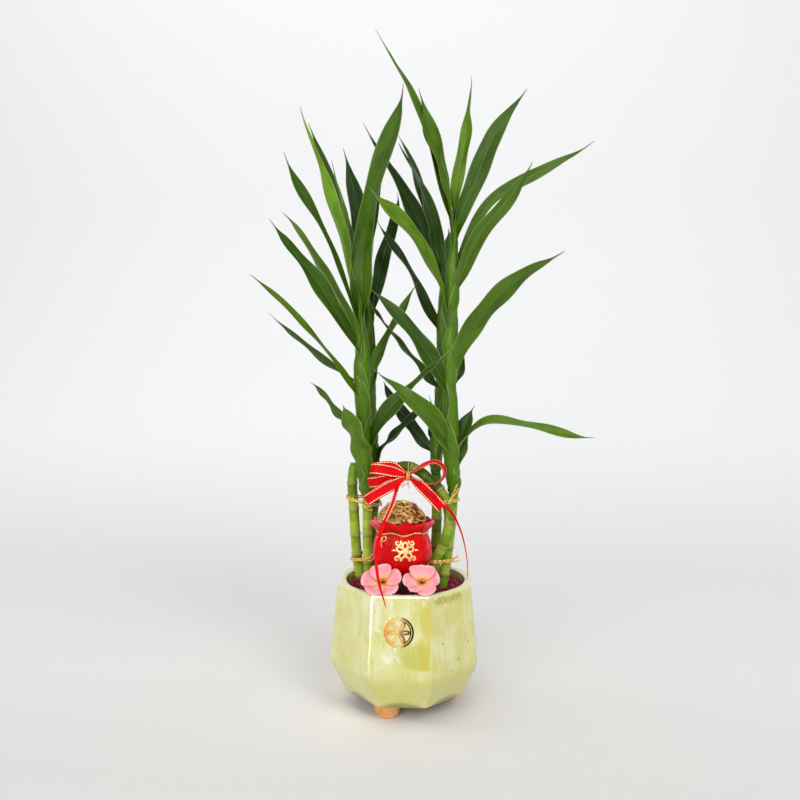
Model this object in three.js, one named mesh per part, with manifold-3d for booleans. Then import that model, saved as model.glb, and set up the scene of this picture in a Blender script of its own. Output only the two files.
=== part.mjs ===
// Lucky bamboo arrangement in a footed octagonal pot.
// Six cut canes stand in soil under a layer of coloured gravel, four of them carry a leafy shoot,
// one is bent into an arch. Gold wires tie the canes, a ribbon bow hangs at the crown of the arch,
// and a moulded money bag and two cloth blossoms stand on picks in front.
// Millimetres, +Z up, the pot's axis on X = Y = 0 until the last lines centre the whole part.

import * as THREE from 'three';
import { mergeVertices } from 'three/addons/utils/BufferGeometryUtils.js';
import Module from 'manifold-3d';

const wasm = await Module();
wasm.setup();

// Driving dimensions

const CLEARANCE = 0.3;

const POT_SIDES = 8;
const POT_RIM = { z: 107.5, apothem: 56.3 };
const POT_SHOULDER = { z: 41, apothem: 62.5 };
const POT_BASE = { z: 12.3, apothem: 48.4 };
const POT_EDGE_ROUND = 3.2;
const POT_CORNER_PULL = 0.3;
const POT_LIP_ROUND = 2.2;
const POT_MOUTH_RADIUS = 51.4;
const POT_FLOOR = { z: 18, radius: 40 };
const POT_BELLY_RADIUS = 56;

const FOOT_COUNT = 3;
const FOOT_RING_RADIUS = 35.5;
const FOOT_FIRST_ANGLE = THREE.MathUtils.degToRad(-111.5);
const FOOT_TOP_RADIUS = 12.4;
const FOOT_TREAD_RADIUS = 9.6;

const SOIL_TOP = 92;
const GRAVEL_LEVEL = 100;
const GRAVEL_SIDES = 28;
const GRAVEL_ROWS = 6;
const GRAVEL_ROUGHNESS = 5.5;

const CANE_FOOT = 55;
const CANE_SIDES = 7;
const CANE_NODE_SWELL = 0.55;
const CANE_NODE_HALF = 1.5;
const CANE_STEP = 15;
const HOLE_RUN = 62;

const BLADE_EDGE = 0.6;
const BLADE_RIB = 1.1;
const BLADE_CHANNEL = 0.16;

const WIRE_RADIUS = 0.9;
const WIRE_SIDES = 5;
const RIBBON_WIDTH = 9.5;
const RIBBON_THICKNESS = 0.8;

const up = new THREE.Vector3(0, 0, 1);

const vec = (point) => new THREE.Vector3(...point);

// Solids: a skin over a row of rings, and the joining and cutting of closed bodies

function signedVolume(positions, index) {
  let six = 0;
  for (let i = 0; i < index.length; i += 3) {
    const [a, b, c] = [index[i], index[i + 1], index[i + 2]].map((k) => positions[k]);
    six += a.dot(b.clone().cross(c));
  }
  return six / 6;
}

// Rings hold equally many points. Past flipFrom the quads are cut along their other diagonal,
// so the two faces of a thin blade fold along the same lines.
function loft(rings, { closed = false, flipFrom = Infinity } = {}) {
  const around = rings[0].length;
  const points = rings.flat();
  const index = [];
  const spans = closed ? rings.length : rings.length - 1;
  for (let k = 0; k < spans; k += 1) {
    const low = k * around;
    const high = ((k + 1) % rings.length) * around;
    for (let i = 0; i < around; i += 1) {
      const j = (i + 1) % around;
      if (i < flipFrom) {
        index.push(low + i, low + j, high + j, low + i, high + j, high + i);
      } else {
        index.push(low + i, low + j, high + i, low + j, high + j, high + i);
      }
    }
  }
  if (!closed) {
    const last = (rings.length - 1) * around;
    for (let i = 1; i < around - 1; i += 1) {
      index.push(0, i + 1, i);
      index.push(last, last + i, last + i + 1);
    }
  }
  if (signedVolume(points, index) < 0) {
    index.reverse();
  }
  const geometry = new THREE.BufferGeometry().setFromPoints(points);
  geometry.setIndex(index);
  return geometry;
}

function toSolid(geometry) {
  const bare = geometry.clone();
  bare.deleteAttribute('normal');
  bare.deleteAttribute('uv');
  const merged = mergeVertices(bare, 1e-4);
  return new wasm.Manifold(new wasm.Mesh({
    numProp: 3,
    vertProperties: Float32Array.from(merged.attributes.position.array),
    triVerts: Uint32Array.from(merged.index.array),
  }));
}

function toGeometry(solid) {
  const mesh = solid.getMesh();
  const geometry = new THREE.BufferGeometry();
  const positions = Float32Array.from(mesh.vertProperties);
  geometry.setAttribute('position', new THREE.BufferAttribute(positions, 3));
  geometry.setIndex(Array.from(mesh.triVerts));
  geometry.computeVertexNormals();
  return geometry;
}

// The main body, without the loose scraps that crossing faces leave
const mainBody = (solid) => solid.decompose()
  .reduce((best, next) => (next.volume() > best.volume() ? next : best));

const join = (geometries) => toGeometry(
  mainBody(geometries.map(toSolid).reduce((whole, next) => whole.add(next))),
);

const cut = (geometry, tools) => toGeometry(
  mainBody(tools.map(toSolid).reduce((whole, tool) => whole.subtract(tool), toSolid(geometry))),
);

// A repeatable draw, so every build roughens the gravel alike
function seededDraw(seed) {
  let state = seed;
  return () => {
    state = (state * 1664525 + 1013904223) % 4294967296;
    return state / 4294967296;
  };
}

const smooth = (value) => {
  const t = THREE.MathUtils.clamp(value, 0, 1);
  return t * t * (3 - 2 * t);
};

// Reads a list of [position, value] pairs at a position, on straight lines between them
function profileAt(profile, position) {
  const next = profile.findIndex(([place]) => place >= position);
  if (next <= 0) {
    return next === 0 ? profile[0][1] : profile[profile.length - 1][1];
  }
  const [from, low] = profile[next - 1];
  const [to, high] = profile[next];
  return low + (high - low) * ((position - from) / (to - from));
}

// Round rods along a curve: canes, stems, wires and picks

const ROD_REFERENCE = new THREE.Vector3(0, 1, 0);
const WIRE_REFERENCE = new THREE.Vector3(0.31, 0.27, 0.91);

function ringAround(centre, tangent, radius, sides, reference) {
  const across = reference.clone().addScaledVector(tangent, -reference.dot(tangent)).normalize();
  const other = tangent.clone().cross(across);
  return Array.from({ length: sides }, (_, i) => {
    const angle = (2 * Math.PI * i) / sides;
    return centre.clone()
      .addScaledVector(across, radius * Math.cos(angle))
      .addScaledVector(other, radius * Math.sin(angle));
  });
}

// stations are shares of the curve's length, radiusAt gives the radius there.
// levelEnds cuts both ends level, as a cane is where a shoot stands on it.
function rod(curve, stations, radiusAt, sides, { reference = ROD_REFERENCE, levelEnds = false } = {}) {
  return loft(stations.map((u) => {
    const tangent = curve.getTangentAt(u);
    if (levelEnds && (u === 0 || u === 1)) {
      tangent.set(0, 0, Math.sign(tangent.z));
    }
    return ringAround(curve.getPointAt(u), tangent, radiusAt(u), sides, reference);
  }));
}

const evenStations = (count) => Array.from({ length: count + 1 }, (_, i) => i / count);

const routeThrough = (points, closed = false) => (
  new THREE.CatmullRomCurve3(points.map(vec), closed, 'centripetal')
);

function wire(points, radius, steps) {
  const stations = evenStations(steps);
  return rod(routeThrough(points), stations, () => radius, WIRE_SIDES, { reference: WIRE_REFERENCE });
}

function wireLoop(points, radius, steps) {
  const curve = routeThrough(points, true);
  const centre = points.map(vec).reduce((sum, p) => sum.add(p)).multiplyScalar(1 / points.length);
  const rings = evenStations(steps).slice(0, -1).map((u) => {
    const place = curve.getPointAt(u);
    return ringAround(place, curve.getTangentAt(u), radius, WIRE_SIDES, place.clone().sub(centre));
  });
  return loft(rings, { closed: true });
}

// Thin strips along a curve: leaf blades, petals and ribbon

// Six points to a section: the two edges and the rib of the upper face, then of the lower one.
// The edges stand higher than the rib by the channel, as a share of the half width.
function strip(sections, { edge = BLADE_EDGE, rib = BLADE_RIB, channel = BLADE_CHANNEL } = {}) {
  const rings = sections.map(({ place, side, face, width }) => {
    const half = width / 2;
    const at = (across, high) => place.clone().addScaledVector(side, across).addScaledVector(face, high);
    const rise = channel * half;
    return [
      at(-half, rise + edge / 2), at(0, rib / 2), at(half, rise + edge / 2),
      at(half, rise - edge / 2), at(0, -rib / 2), at(-half, rise - edge / 2),
    ];
  });
  return loft(rings, { flipFrom: 3 });
}

// Pot: an octagon with softened edges round a turned inside, glazed inside and out

// Three points to a corner: one on either side of it and, pulled in a little, the corner itself
function octagonRing(apothem, z) {
  const corner = apothem / Math.cos(Math.PI / POT_SIDES);
  const softened = POT_EDGE_ROUND * Math.tan(Math.PI / POT_SIDES);
  const pulledIn = corner - POT_CORNER_PULL * softened;
  const ring = [];
  for (let i = 0; i < POT_SIDES; i += 1) {
    const angle = (2 * Math.PI * (i + 0.5)) / POT_SIDES;
    const tip = new THREE.Vector3(corner * Math.cos(angle), corner * Math.sin(angle), z);
    const alongSide = (turn) => {
      const way = angle + turn * (Math.PI / 2 + Math.PI / POT_SIDES);
      return tip.clone().add(new THREE.Vector3(softened * Math.cos(way), softened * Math.sin(way), 0));
    };
    const middle = new THREE.Vector3(pulledIn * Math.cos(angle), pulledIn * Math.sin(angle), z);
    ring.push(alongSide(-1), middle, alongSide(1));
  }
  return ring;
}

function potInside(shrink, topZ) {
  const floor = POT_FLOOR.z;
  const wallRadius = (z) => POT_BELLY_RADIUS
    + (POT_MOUTH_RADIUS - POT_BELLY_RADIUS) * ((z - POT_SHOULDER.z) / (POT_RIM.z - POT_SHOULDER.z));
  const profile = [
    [0, floor], [POT_FLOOR.radius - shrink, floor], [POT_FLOOR.radius + 6 - shrink, floor + 6],
    [POT_BELLY_RADIUS - shrink, POT_SHOULDER.z], [wallRadius(topZ) - shrink, topZ], [0, topZ],
  ];
  const lathe = new THREE.LatheGeometry(profile.map(([r, z]) => new THREE.Vector2(r, z)), 28);
  return lathe.rotateX(Math.PI / 2);
}

function potBody() {
  const outside = loft([
    octagonRing(POT_BASE.apothem - 1.5, POT_BASE.z),
    octagonRing(POT_BASE.apothem, POT_BASE.z + 1.5),
    octagonRing(POT_SHOULDER.apothem - 0.9, POT_SHOULDER.z - 1.6),
    octagonRing(POT_SHOULDER.apothem - 0.2, POT_SHOULDER.z + 0.6),
    octagonRing(POT_RIM.apothem + 0.2, POT_RIM.z - POT_LIP_ROUND),
    octagonRing(POT_RIM.apothem - 0.8, POT_RIM.z - 0.5),
    octagonRing(POT_RIM.apothem - 2.2, POT_RIM.z),
  ]);
  return cut(outside, [potInside(0, POT_RIM.z + 4)]);
}

function footBody() {
  const profile = [
    [0, 0], [FOOT_TREAD_RADIUS - 1, 0], [FOOT_TREAD_RADIUS, 1],
    [FOOT_TOP_RADIUS, POT_BASE.z], [0, POT_BASE.z],
  ];
  const lathe = new THREE.LatheGeometry(profile.map(([r, z]) => new THREE.Vector2(r, z)), 12);
  return lathe.rotateX(Math.PI / 2);
}

// Canes: each a rod with a swollen ring at every node, cut flat at both ends.
// path runs from the foot in the soil to the cut top, nodes are lengths along it from the foot.

const CANES = {
  cane_left_short: {
    radius: 4.5,
    path: [
      [-41, 20, CANE_FOOT], [-42.6, 18.9, 101.8], [-45.1, 16.7, 123.3],
      [-47.4, 14.6, 164.2], [-48.7, 14.5, 187.6], [-47.2, 15.8, 205],
    ],
    nodes: [48, 69, 87, 110, 133],
  },
  cane_left_front: {
    radius: 4.1,
    path: [[-33, 5.6, CANE_FOOT], [-33.4, 5.6, 104], [-34.2, 5.5, 132], [-34.2, 5.3, 176]],
    nodes: [64.5, 89.4, 113],
  },
  cane_left_back: {
    radius: 4.3,
    path: [[-33, 31, CANE_FOOT], [-32.5, 31.5, 120], [-32, 30.5, 180]],
    nodes: [47, 76, 104],
  },
  cane_arch: {
    radius: 4.6,
    path: [
      [-29, 21, CANE_FOOT], [-29.5, 20, 100], [-30, 18.5, 135], [-30, 16.5, 163], [-26.5, 13, 181],
      [-20, 8.5, 192], [-11.5, 4, 200], [-1, 0.5, 204.5], [10, -2, 202], [21, -4.5, 194],
      [30, -6.5, 185], [37, -8.5, 171], [38.2, -9.4, 156], [33.4, -9, 138], [27.6, -6.6, 126],
      [23, -3.5, 112], [20, -1.5, 98], [18, 0, CANE_FOOT],
    ],
    nodes: [60, 92, 124, 172, 203, 232, 254, 300],
  },
  cane_right_front: {
    radius: 4.2,
    path: [
      [29, -5.5, CANE_FOOT], [32.1, -3.7, 97.3], [36.3, -1.3, 125], [39.4, 1, 149], [41.8, 1.4, 182],
    ],
    nodes: [57, 80.5, 100],
  },
  cane_right_back: {
    radius: 4.4,
    path: [[24, 10, CANE_FOOT], [24.6, 10, 110], [27, 10, 150], [26.4, 10, 196]],
    nodes: [50, 79, 103, 132],
  },
};

function caneBody({ path, radius, nodes }) {
  const curve = routeThrough(path);
  const length = curve.getLength();
  const swell = (u) => {
    const near = Math.min(...nodes.map((node) => Math.abs(node - u * length)));
    return CANE_NODE_SWELL * Math.max(0, 1 - near / CANE_NODE_HALF);
  };
  const ringed = nodes.flatMap(
    (node) => [-1, 0, 1].map((step) => (node + step * CANE_NODE_HALF) / length),
  );
  const plain = evenStations(Math.ceil(length / CANE_STEP)).filter(
    (u) => u === 0 || u === 1 || ringed.every((v) => Math.abs(u - v) * length > CANE_STEP / 3),
  );
  const stations = [...plain, ...ringed].sort((a, b) => a - b);
  return rod(curve, stations, (u) => radius + swell(u), CANE_SIDES, { levelEnds: true });
}

// The room that a cane's leg needs in soil and gravel, along the same curve
function caneHole({ path, radius }, fromEnd = false) {
  const curve = routeThrough(fromEnd ? [...path].reverse() : path);
  const share = HOLE_RUN / curve.getLength();
  const wall = radius + CANE_NODE_SWELL + CLEARANCE;
  const stations = evenStations(3).map((u) => u * share);
  return rod(curve, stations, () => wall, CANE_SIDES, { levelEnds: true }).translate(0, 0, -CLEARANCE);
}

// Leafy shoots: a sheathed stem with its blades, fused into one body.
// A blade leaves the stem at height `at` and follows `path` to its tip. `turn` rolls its upper face
// from the inward and upward way that it starts in towards the front, in degrees.

const BLADE_STATIONS = [0, 0.15, 0.32, 0.5, 0.68, 0.85, 1];
const BLADE_OUTLINE = [
  [0, 0.5], [0.15, 0.56], [0.32, 0.84], [0.5, 1], [0.68, 0.87], [0.85, 0.47], [1, 0.06],
];
const BLADE_LEAD = 0.22;
const BLADE_TURN_OVER = 0.3;

const SHOOTS = {
  shoot_left_front: {
    stem: [
      [-34.2, 5.3, 176.3], [-35.2, 3.6, 192], [-37, -0.2, 226],
      [-36.6, -2.4, 262], [-37.8, -2.6, 306], [-39.6, -2.8, 352],
    ],
    radii: [[0, 4.2], [0.12, 7], [0.3, 6.8], [0.55, 5.6], [0.8, 4.6], [1, 2]],
    leaves: [
      { at: 186, path: [[-45, -11, 235], [-54, -20, 260]], width: 17, turn: -55 },
      { at: 200, path: [[-15, -11, 252], [35, -20, 302]], width: 12, turn: 65 },
      { at: 214, path: [[-61, -2, 253], [-81, -4, 279]], width: 9, turn: -50 },
      { at: 236, path: [[-66, -26, 306], [-120, -54, 366]], width: 13, turn: 60 },
      { at: 252, path: [[-21, 8, 310], [10, 14, 366]], width: 11, turn: -60 },
      { at: 280, path: [[-65, -22, 350], [-106, -50, 409]], width: 16, turn: 60 },
      { at: 286, path: [[-69, 3, 370], [-108, 9, 429]], width: 12, turn: -60 },
      { at: 292, path: [[-58, -14, 381], [-98, -38, 465]], width: 14, turn: 62 },
      { at: 306, path: [[-60, 4, 423], [-96, 15, 520]], width: 11, turn: -62 },
      { at: 300, path: [[-36, -10, 384], [-24, -15, 448], [3, -8, 532]], width: 19, turn: 40 },
      { at: 316, path: [[-50, -9, 415], [-62, -18, 464]], width: 10, turn: 50 },
    ],
  },
  shoot_left_back: {
    stem: [
      [-32, 30.5, 180.3], [-31.6, 29, 203], [-32.6, 25.5, 236],
      [-33.6, 24, 270], [-34.6, 25, 315], [-35.6, 27, 362],
    ],
    radii: [[0, 4.3], [0.14, 6], [0.4, 5.4], [0.8, 4.2], [1, 2]],
    leaves: [
      { at: 190, path: [[-13, 13, 229], [18, 10, 258]], width: 13, turn: 60 },
      { at: 222, path: [[-40, 52, 262], [-44, 88, 275]], width: 14, turn: 20 },
      { at: 250, path: [[-77, 23, 298], [-129, 34, 341]], width: 9, turn: -35 },
      { at: 256, path: [[-42, 58, 302], [-49, 98, 322]], width: 15, turn: -20 },
      { at: 300, path: [[-40, 56, 362], [-47, 92, 402]], width: 14, turn: 15 },
      { at: 312, path: [[-60, 32, 429], [-94, 48, 516]], width: 10, turn: 60 },
      { at: 318, path: [[-47, 42, 437], [-61, 60, 494]], width: 17, turn: 50 },
      { at: 330, path: [[-25, 25, 457], [-12, 21, 510]], width: 14, turn: 45 },
      { at: 312, path: [[-22, 40, 394], [-8, 62, 456]], width: 13, turn: -50 },
    ],
  },
  shoot_right_front: {
    stem: [
      [41.8, 1.4, 182.3], [41.3, 0.4, 194], [40.2, -0.8, 210], [39.5, -1, 228],
      [38.2, 0.8, 262], [38.9, 2.9, 306], [40, 5.4, 352], [42.4, 8, 420],
    ],
    radii: [[0, 4.3], [0.03, 5.2], [0.1, 7.4], [0.3, 7], [0.5, 5.6], [0.8, 4.4], [1, 2.2]],
    leaves: [
      { at: 192, path: [[48, 2, 230], [58, 6, 256]], width: 16, turn: 55 },
      { at: 200, path: [[17, -30, 255], [-22, -39, 287]], width: 19, turn: 62 },
      { at: 200, path: [[68, -6, 244], [104, -14, 242], [158, -24, 230]], width: 15, turn: 30 },
      { at: 246, path: [[8, -12, 319], [-30, -17, 359]], width: 17, turn: 62 },
      { at: 262, path: [[55, -8, 322], [84, -22, 354], [126, -37, 383]], width: 19, turn: -60 },
      { at: 312, path: [[13, -12, 395], [-28, -28, 436]], width: 20, turn: 60 },
      { at: 330, path: [[63, -10, 400], [108, -30, 456]], width: 15, turn: -60 },
      { at: 338, path: [[65, 19, 424], [100, 33, 457], [170, 53, 493]], width: 15, turn: 50 },
      { at: 372, path: [[66, 14, 471], [105, 34, 539]], width: 20, turn: 55 },
      { at: 378, path: [[29, -3, 467], [11, -14, 523]], width: 20, turn: 55 },
      { at: 398, path: [[49, 6, 478], [58, -2, 536]], width: 11, turn: 45 },
      { at: 376, path: [[15, -14, 498], [-22, -33, 565]], width: 13, turn: 60 },
    ],
  },
  shoot_right_back: {
    stem: [
      [26.4, 10, 196.3], [26.4, 12, 210], [27.4, 17, 228], [29.6, 22.4, 254],
      [31.2, 27.4, 290], [32, 30.4, 326], [32, 32.4, 366],
    ],
    radii: [[0, 4.4], [0.12, 5.4], [0.4, 5.2], [0.8, 4.2], [1, 2]],
    leaves: [
      { at: 200, path: [[2, 23, 240], [-24, 22, 280]], width: 13, turn: 60 },
      { at: 206, path: [[23, 30, 244], [20, 40, 264]], width: 11, turn: -40 },
      { at: 234, path: [[34, 58, 276], [39, 94, 290]], width: 15, turn: 20 },
      { at: 250, path: [[46, 44, 287], [53, 58, 309]], width: 9, turn: 50 },
      { at: 252, path: [[-4, 2, 310], [-33, -13, 350]], width: 13, turn: 60 },
      { at: 278, path: [[36, 66, 326], [42, 100, 346]], width: 15, turn: -20 },
      { at: 298, path: [[4, 26, 373], [-27, 24, 422]], width: 13, turn: 60 },
      { at: 322, path: [[34, 66, 386], [37, 98, 430]], width: 15, turn: 15 },
      { at: 336, path: [[4, 22, 433], [-36, 2, 498]], width: 15, turn: 60 },
      { at: 346, path: [[13, 34, 452], [-9, 27, 492]], width: 18, turn: 55 },
      { at: 352, path: [[8, 48, 466], [-11, 60, 510]], width: 9, turn: 50 },
    ],
  },
};

function pointAtHeight(curve, z) {
  let low = 0;
  let high = 1;
  for (let step = 0; step < 24; step += 1) {
    const half = (low + high) / 2;
    if (curve.getPointAt(half).z < z) {
      low = half;
    } else {
      high = half;
    }
  }
  return curve.getPointAt(low);
}

function bladeBody(stem, { at, path, width, turn }) {
  const root = pointAtHeight(stem, at);
  const rise = root.clone().addScaledVector(up, BLADE_LEAD * root.distanceTo(vec(path[0])));
  const curve = routeThrough([root.toArray(), rise.toArray(), ...path]);
  const heading = vec(path[path.length - 1]).sub(root).setZ(0).normalize();
  const inward = up.clone().multiplyScalar(0.6).sub(heading);
  const sections = BLADE_STATIONS.map((s) => {
    const tangent = curve.getTangentAt(s);
    const start = inward.clone().addScaledVector(tangent, -inward.dot(tangent)).normalize();
    const front = tangent.clone().cross(start);
    if (front.y > 0) {
      front.negate();
    }
    const angle = THREE.MathUtils.degToRad(turn) * smooth(s / BLADE_TURN_OVER);
    const face = start.multiplyScalar(Math.cos(angle)).addScaledVector(front, Math.sin(angle));
    return {
      place: curve.getPointAt(s),
      side: tangent.clone().cross(face),
      face,
      width: width * profileAt(BLADE_OUTLINE, s),
    };
  });
  return strip(sections);
}

function shootBody({ stem, radii, leaves }) {
  const curve = routeThrough(stem);
  const core = rod(curve, evenStations(9), (u) => profileAt(radii, u), CANE_SIDES, { levelEnds: true });
  return join([core, ...leaves.map((leaf) => bladeBody(curve, leaf))]);
}

// Gold wire ties: a loop drawn tight round a bundle of canes, with twisted ends

// Where a cane's leg crosses a level, and how wide it is there
function caneCentre(name, z, side = 'rising') {
  const { path, radius } = CANES[name];
  const curve = routeThrough(path);
  const samples = evenStations(400).map((u) => {
    const slope = Math.abs(curve.getTangentAt(u).z);
    return { point: curve.getPointAt(u), slope };
  });
  const crown = samples.reduce((best, { point }, i) => (point.z > samples[best].point.z ? i : best), 0);
  const leg = side === 'rising' ? samples.slice(0, crown + 1) : samples.slice(crown);
  const offLevel = ({ point }) => Math.abs(point.z - z);
  const nearest = leg.reduce((best, sample) => (offLevel(sample) < offLevel(best) ? sample : best));
  return { x: nearest.point.x, y: nearest.point.y, radius: radius / nearest.slope };
}

// Corner points of the tightest loop round some circles, each grown by a margin
function hullAround(circles, margin, z) {
  const ways = 24;
  const points = [];
  for (const { x, y, radius } of circles) {
    for (let i = 0; i < ways; i += 1) {
      const angle = (2 * Math.PI * i) / ways;
      const reach = radius + margin;
      points.push([x + reach * Math.cos(angle), y + reach * Math.sin(angle)]);
    }
  }
  points.sort((a, b) => a[0] - b[0] || a[1] - b[1]);
  const turns = (o, a, b) => (a[0] - o[0]) * (b[1] - o[1]) - (a[1] - o[1]) * (b[0] - o[0]);
  const chain = (list) => list.reduce((hull, p) => {
    while (hull.length >= 2 && turns(hull[hull.length - 2], hull[hull.length - 1], p) <= 0) {
      hull.pop();
    }
    hull.push(p);
    return hull;
  }, []);
  const hull = [...chain(points).slice(0, -1), ...chain([...points].reverse()).slice(0, -1)];
  return hull.map(([x, y]) => [x, y, z(x, y)]);
}

const TIES = {
  tie_left_upper: {
    canes: [
      ['cane_left_short', 174], ['cane_left_front', 174], ['cane_arch', 174], ['cane_left_back', 174],
    ],
    level: (x) => 172 - 0.22 * (x + 40),
    tails: [[[-41, 4, 174], [-38, 0, 172], [-34, -3, 169], [-30, -4, 170]]],
  },
  tie_left_lower: {
    canes: [
      ['cane_left_short', 120], ['cane_left_front', 122], ['cane_arch', 123], ['cane_left_back', 123],
    ],
    level: (x) => 119.6 + 0.24 * (x + 45),
    tails: [[[-38, 2.2, 121.3], [-34.5, -0.4, 122.4], [-31, -1.5, 124], [-28.8, -3, 127.5]]],
  },
  tie_right_upper: {
    canes: [['cane_right_front', 176], ['cane_arch', 176, 'falling'], ['cane_right_back', 176]],
    level: () => 176,
    tails: [[[38.6, -12, 176], [40.4, -11.4, 181], [43, -10, 186], [45, -9.4, 191]]],
  },
  tie_right_lower: {
    canes: [['cane_right_front', 124], ['cane_arch', 124, 'falling'], ['cane_right_back', 124]],
    level: () => 124,
    tails: [[[33, -11.5, 124], [37, -9.5, 124.5], [42, -9, 126], [46, -9, 129]]],
  },
};

const TIE_ROOM = 0.55;

function tieBody({ canes, level, tails }) {
  const circles = canes.map(([name, z, side]) => caneCentre(name, z, side));
  const loop = hullAround(circles, WIRE_RADIUS + TIE_ROOM, level);
  return join([
    wireLoop(loop, WIRE_RADIUS, 22),
    ...tails.map((tail) => wire(tail, WIRE_RADIUS, 4)),
  ]);
}

// Ribbon bow: five pinched loops and two tails drawn together in a knot below the crown

const KNOT = [3, -10.6, 197.6];
const KNOT_RADIUS = 3.6;
const PINCH = 0.42;
const PINCH_RUN = 0.22;

// facing is the way that the ribbon's broad face looks
const RIBBON_LOOPS = [
  {
    facing: [0.1, -1, 0.25],
    path: [
      KNOT, [-12, -16, 202.5], [-24, -17, 204.5], [-29, -14, 204], [-24, -9.5, 204.5], [-11, -8.5, 205],
      KNOT,
    ],
  },
  {
    facing: [0.2, -1, -0.1],
    path: [
      KNOT, [-14, -14.5, 195], [-26, -14, 192.5], [-31, -11, 192], [-26, -8.6, 193], [-12, -9, 196],
      KNOT,
    ],
  },
  {
    facing: [0.2, -1, 0.2],
    path: [
      KNOT, [-13, -19, 189], [-26, -23.5, 182], [-32, -23, 178], [-27, -19, 181.5], [-13, -15, 190],
      KNOT,
    ],
  },
  {
    facing: [0, 0, 1],
    path: [
      KNOT, [9, -14, 203], [17, -14.5, 208.5], [26, -15, 211], [33, -15.5, 206.5], [34, -15.5, 200],
      [29, -15, 193], [20, -14.5, 191], [11, -13, 194], KNOT,
    ],
  },
  {
    facing: [-0.2, -1, 0.25],
    path: [
      KNOT, [15, -18, 189.5], [25, -21, 180], [32, -21.5, 172.5], [26, -17.5, 178.5], [15, -14.5, 188.5],
      KNOT,
    ],
  },
];
const RIBBON_TAILS = [
  {
    facing: [-0.6, -1, 0],
    widths: [[0, 2.6], [0.1, 4], [0.3, 5], [0.8, 3.4], [1, 1]],
    path: [
      KNOT, [-3.5, -13.5, 193.5], [-9, -33, 177], [-15, -43, 163], [-19, -50, 148], [-20, -55, 136],
      [-17.5, -60, 120], [-14, -63, 109], [-11, -64, 99.5],
    ],
  },
  {
    facing: [0.5, -1, 0.2],
    widths: [[0, 2.6], [0.1, 4], [0.3, 5.4], [0.6, 3.4], [1, 1]],
    path: [
      KNOT, [9, -15, 194], [20, -21.5, 187.5], [32, -20, 177], [42, -16, 165], [49, -14, 149],
      [53, -14.5, 131], [54, -15.5, 119], [53.4, -16.5, 110],
    ],
  },
];

// A flat strip of ribbon, four points to a section
function tape(sections) {
  const corners = [[-1, 1], [1, 1], [1, -1], [-1, -1]];
  const rings = sections.map(({ place, side, face, width }) => corners.map(
    ([across, high]) => place.clone()
      .addScaledVector(side, (across * width) / 2)
      .addScaledVector(face, (high * RIBBON_THICKNESS) / 2),
  ));
  return loft(rings, { flipFrom: 2 });
}

function ribbonStrip(path, facing, widthAt, steps) {
  const curve = routeThrough(path);
  let reference = vec(facing);
  const sections = evenStations(steps).map((u) => {
    const tangent = curve.getTangentAt(u);
    const face = reference.clone().addScaledVector(tangent, -reference.dot(tangent)).normalize();
    reference = face;
    return { place: curve.getPointAt(u), side: tangent.clone().cross(face), face, width: widthAt(u) };
  });
  return tape(sections);
}

// A loop's broad face stays square to the loop's plane, so its width keeps one direction
function loopStrip({ path, facing }) {
  const curve = routeThrough(path);
  const out = curve.getPointAt(0.5).sub(vec(KNOT));
  const standing = facing[1] === 0;
  const across = standing ? new THREE.Vector3(0, 1, 0) : out.clone().cross(vec(facing)).normalize();
  const sections = evenStations(9).map((u) => {
    const tangent = curve.getTangentAt(u);
    const side = across.clone().addScaledVector(tangent, -across.dot(tangent)).normalize();
    const pinched = PINCH + (1 - PINCH) * smooth(Math.min(u, 1 - u) / PINCH_RUN);
    const face = side.clone().cross(tangent);
    return { place: curve.getPointAt(u), side, face, width: RIBBON_WIDTH * pinched };
  });
  return tape(sections);
}

function ribbonBody() {
  const knot = new THREE.SphereGeometry(KNOT_RADIUS, 8, 6).scale(1, 1, 1.05).translate(...KNOT);
  const tails = RIBBON_TAILS.map(
    ({ path, facing, widths }) => ribbonStrip(path, facing, (u) => profileAt(widths, u), 10),
  );
  return join([knot, ...RIBBON_LOOPS.map(loopStrip), ...tails]);
}

// The wire that hangs the bow: one loop round the crown of the arch and the knot
function bowWireBody() {
  const crown = { x: 0, y: 203.6, radius: CANES.cane_arch.radius };
  const knot = { x: KNOT[1], y: KNOT[2], radius: KNOT_RADIUS };
  const loop = hullAround([crown, knot], WIRE_RADIUS + TIE_ROOM, () => KNOT[0])
    .map(([y, z, x]) => [x, y, z]);
  const low = [KNOT[0], KNOT[1] - 1, KNOT[2] - KNOT_RADIUS - 1.6];
  return join([
    wireLoop(loop, WIRE_RADIUS, 18),
    wire([low, [1, -13.4, 190.5], [-2, -14.5, 190], [-1, -15.5, 188]], 0.7, 5),
    wire([low, [3.4, -12.4, 190], [4.6, -13.4, 187.6]], 0.7, 4),
  ]);
}

// Money bag: a moulded ornament with a pleated collar, a cord round its neck and a heap of coins

const BAG_CENTRE = [-1.7, -16];
const BAG_DEPTH_SHARE = 0.76;
const BAG_BASE = 113;
const BAG_PLEATS = 9;
const BAG_SIDES = 27;
// [height above the base, half width, depth of the pleats]
const BAG_PROFILE = [
  [0, 12, 0], [2.4, 17.5, 0], [10, 23.2, 0], [20, 25.4, 0.1], [30, 24, 0.6], [38.4, 21.4, 0.8],
  [41.5, 22.4, 1.3], [46.5, 24.7, 2], [50, 24.9, 2.3], [50.8, 23.2, 2],
];
const BAG_NECK = { height: 38.4, halfWidth: 21.4 };

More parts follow.
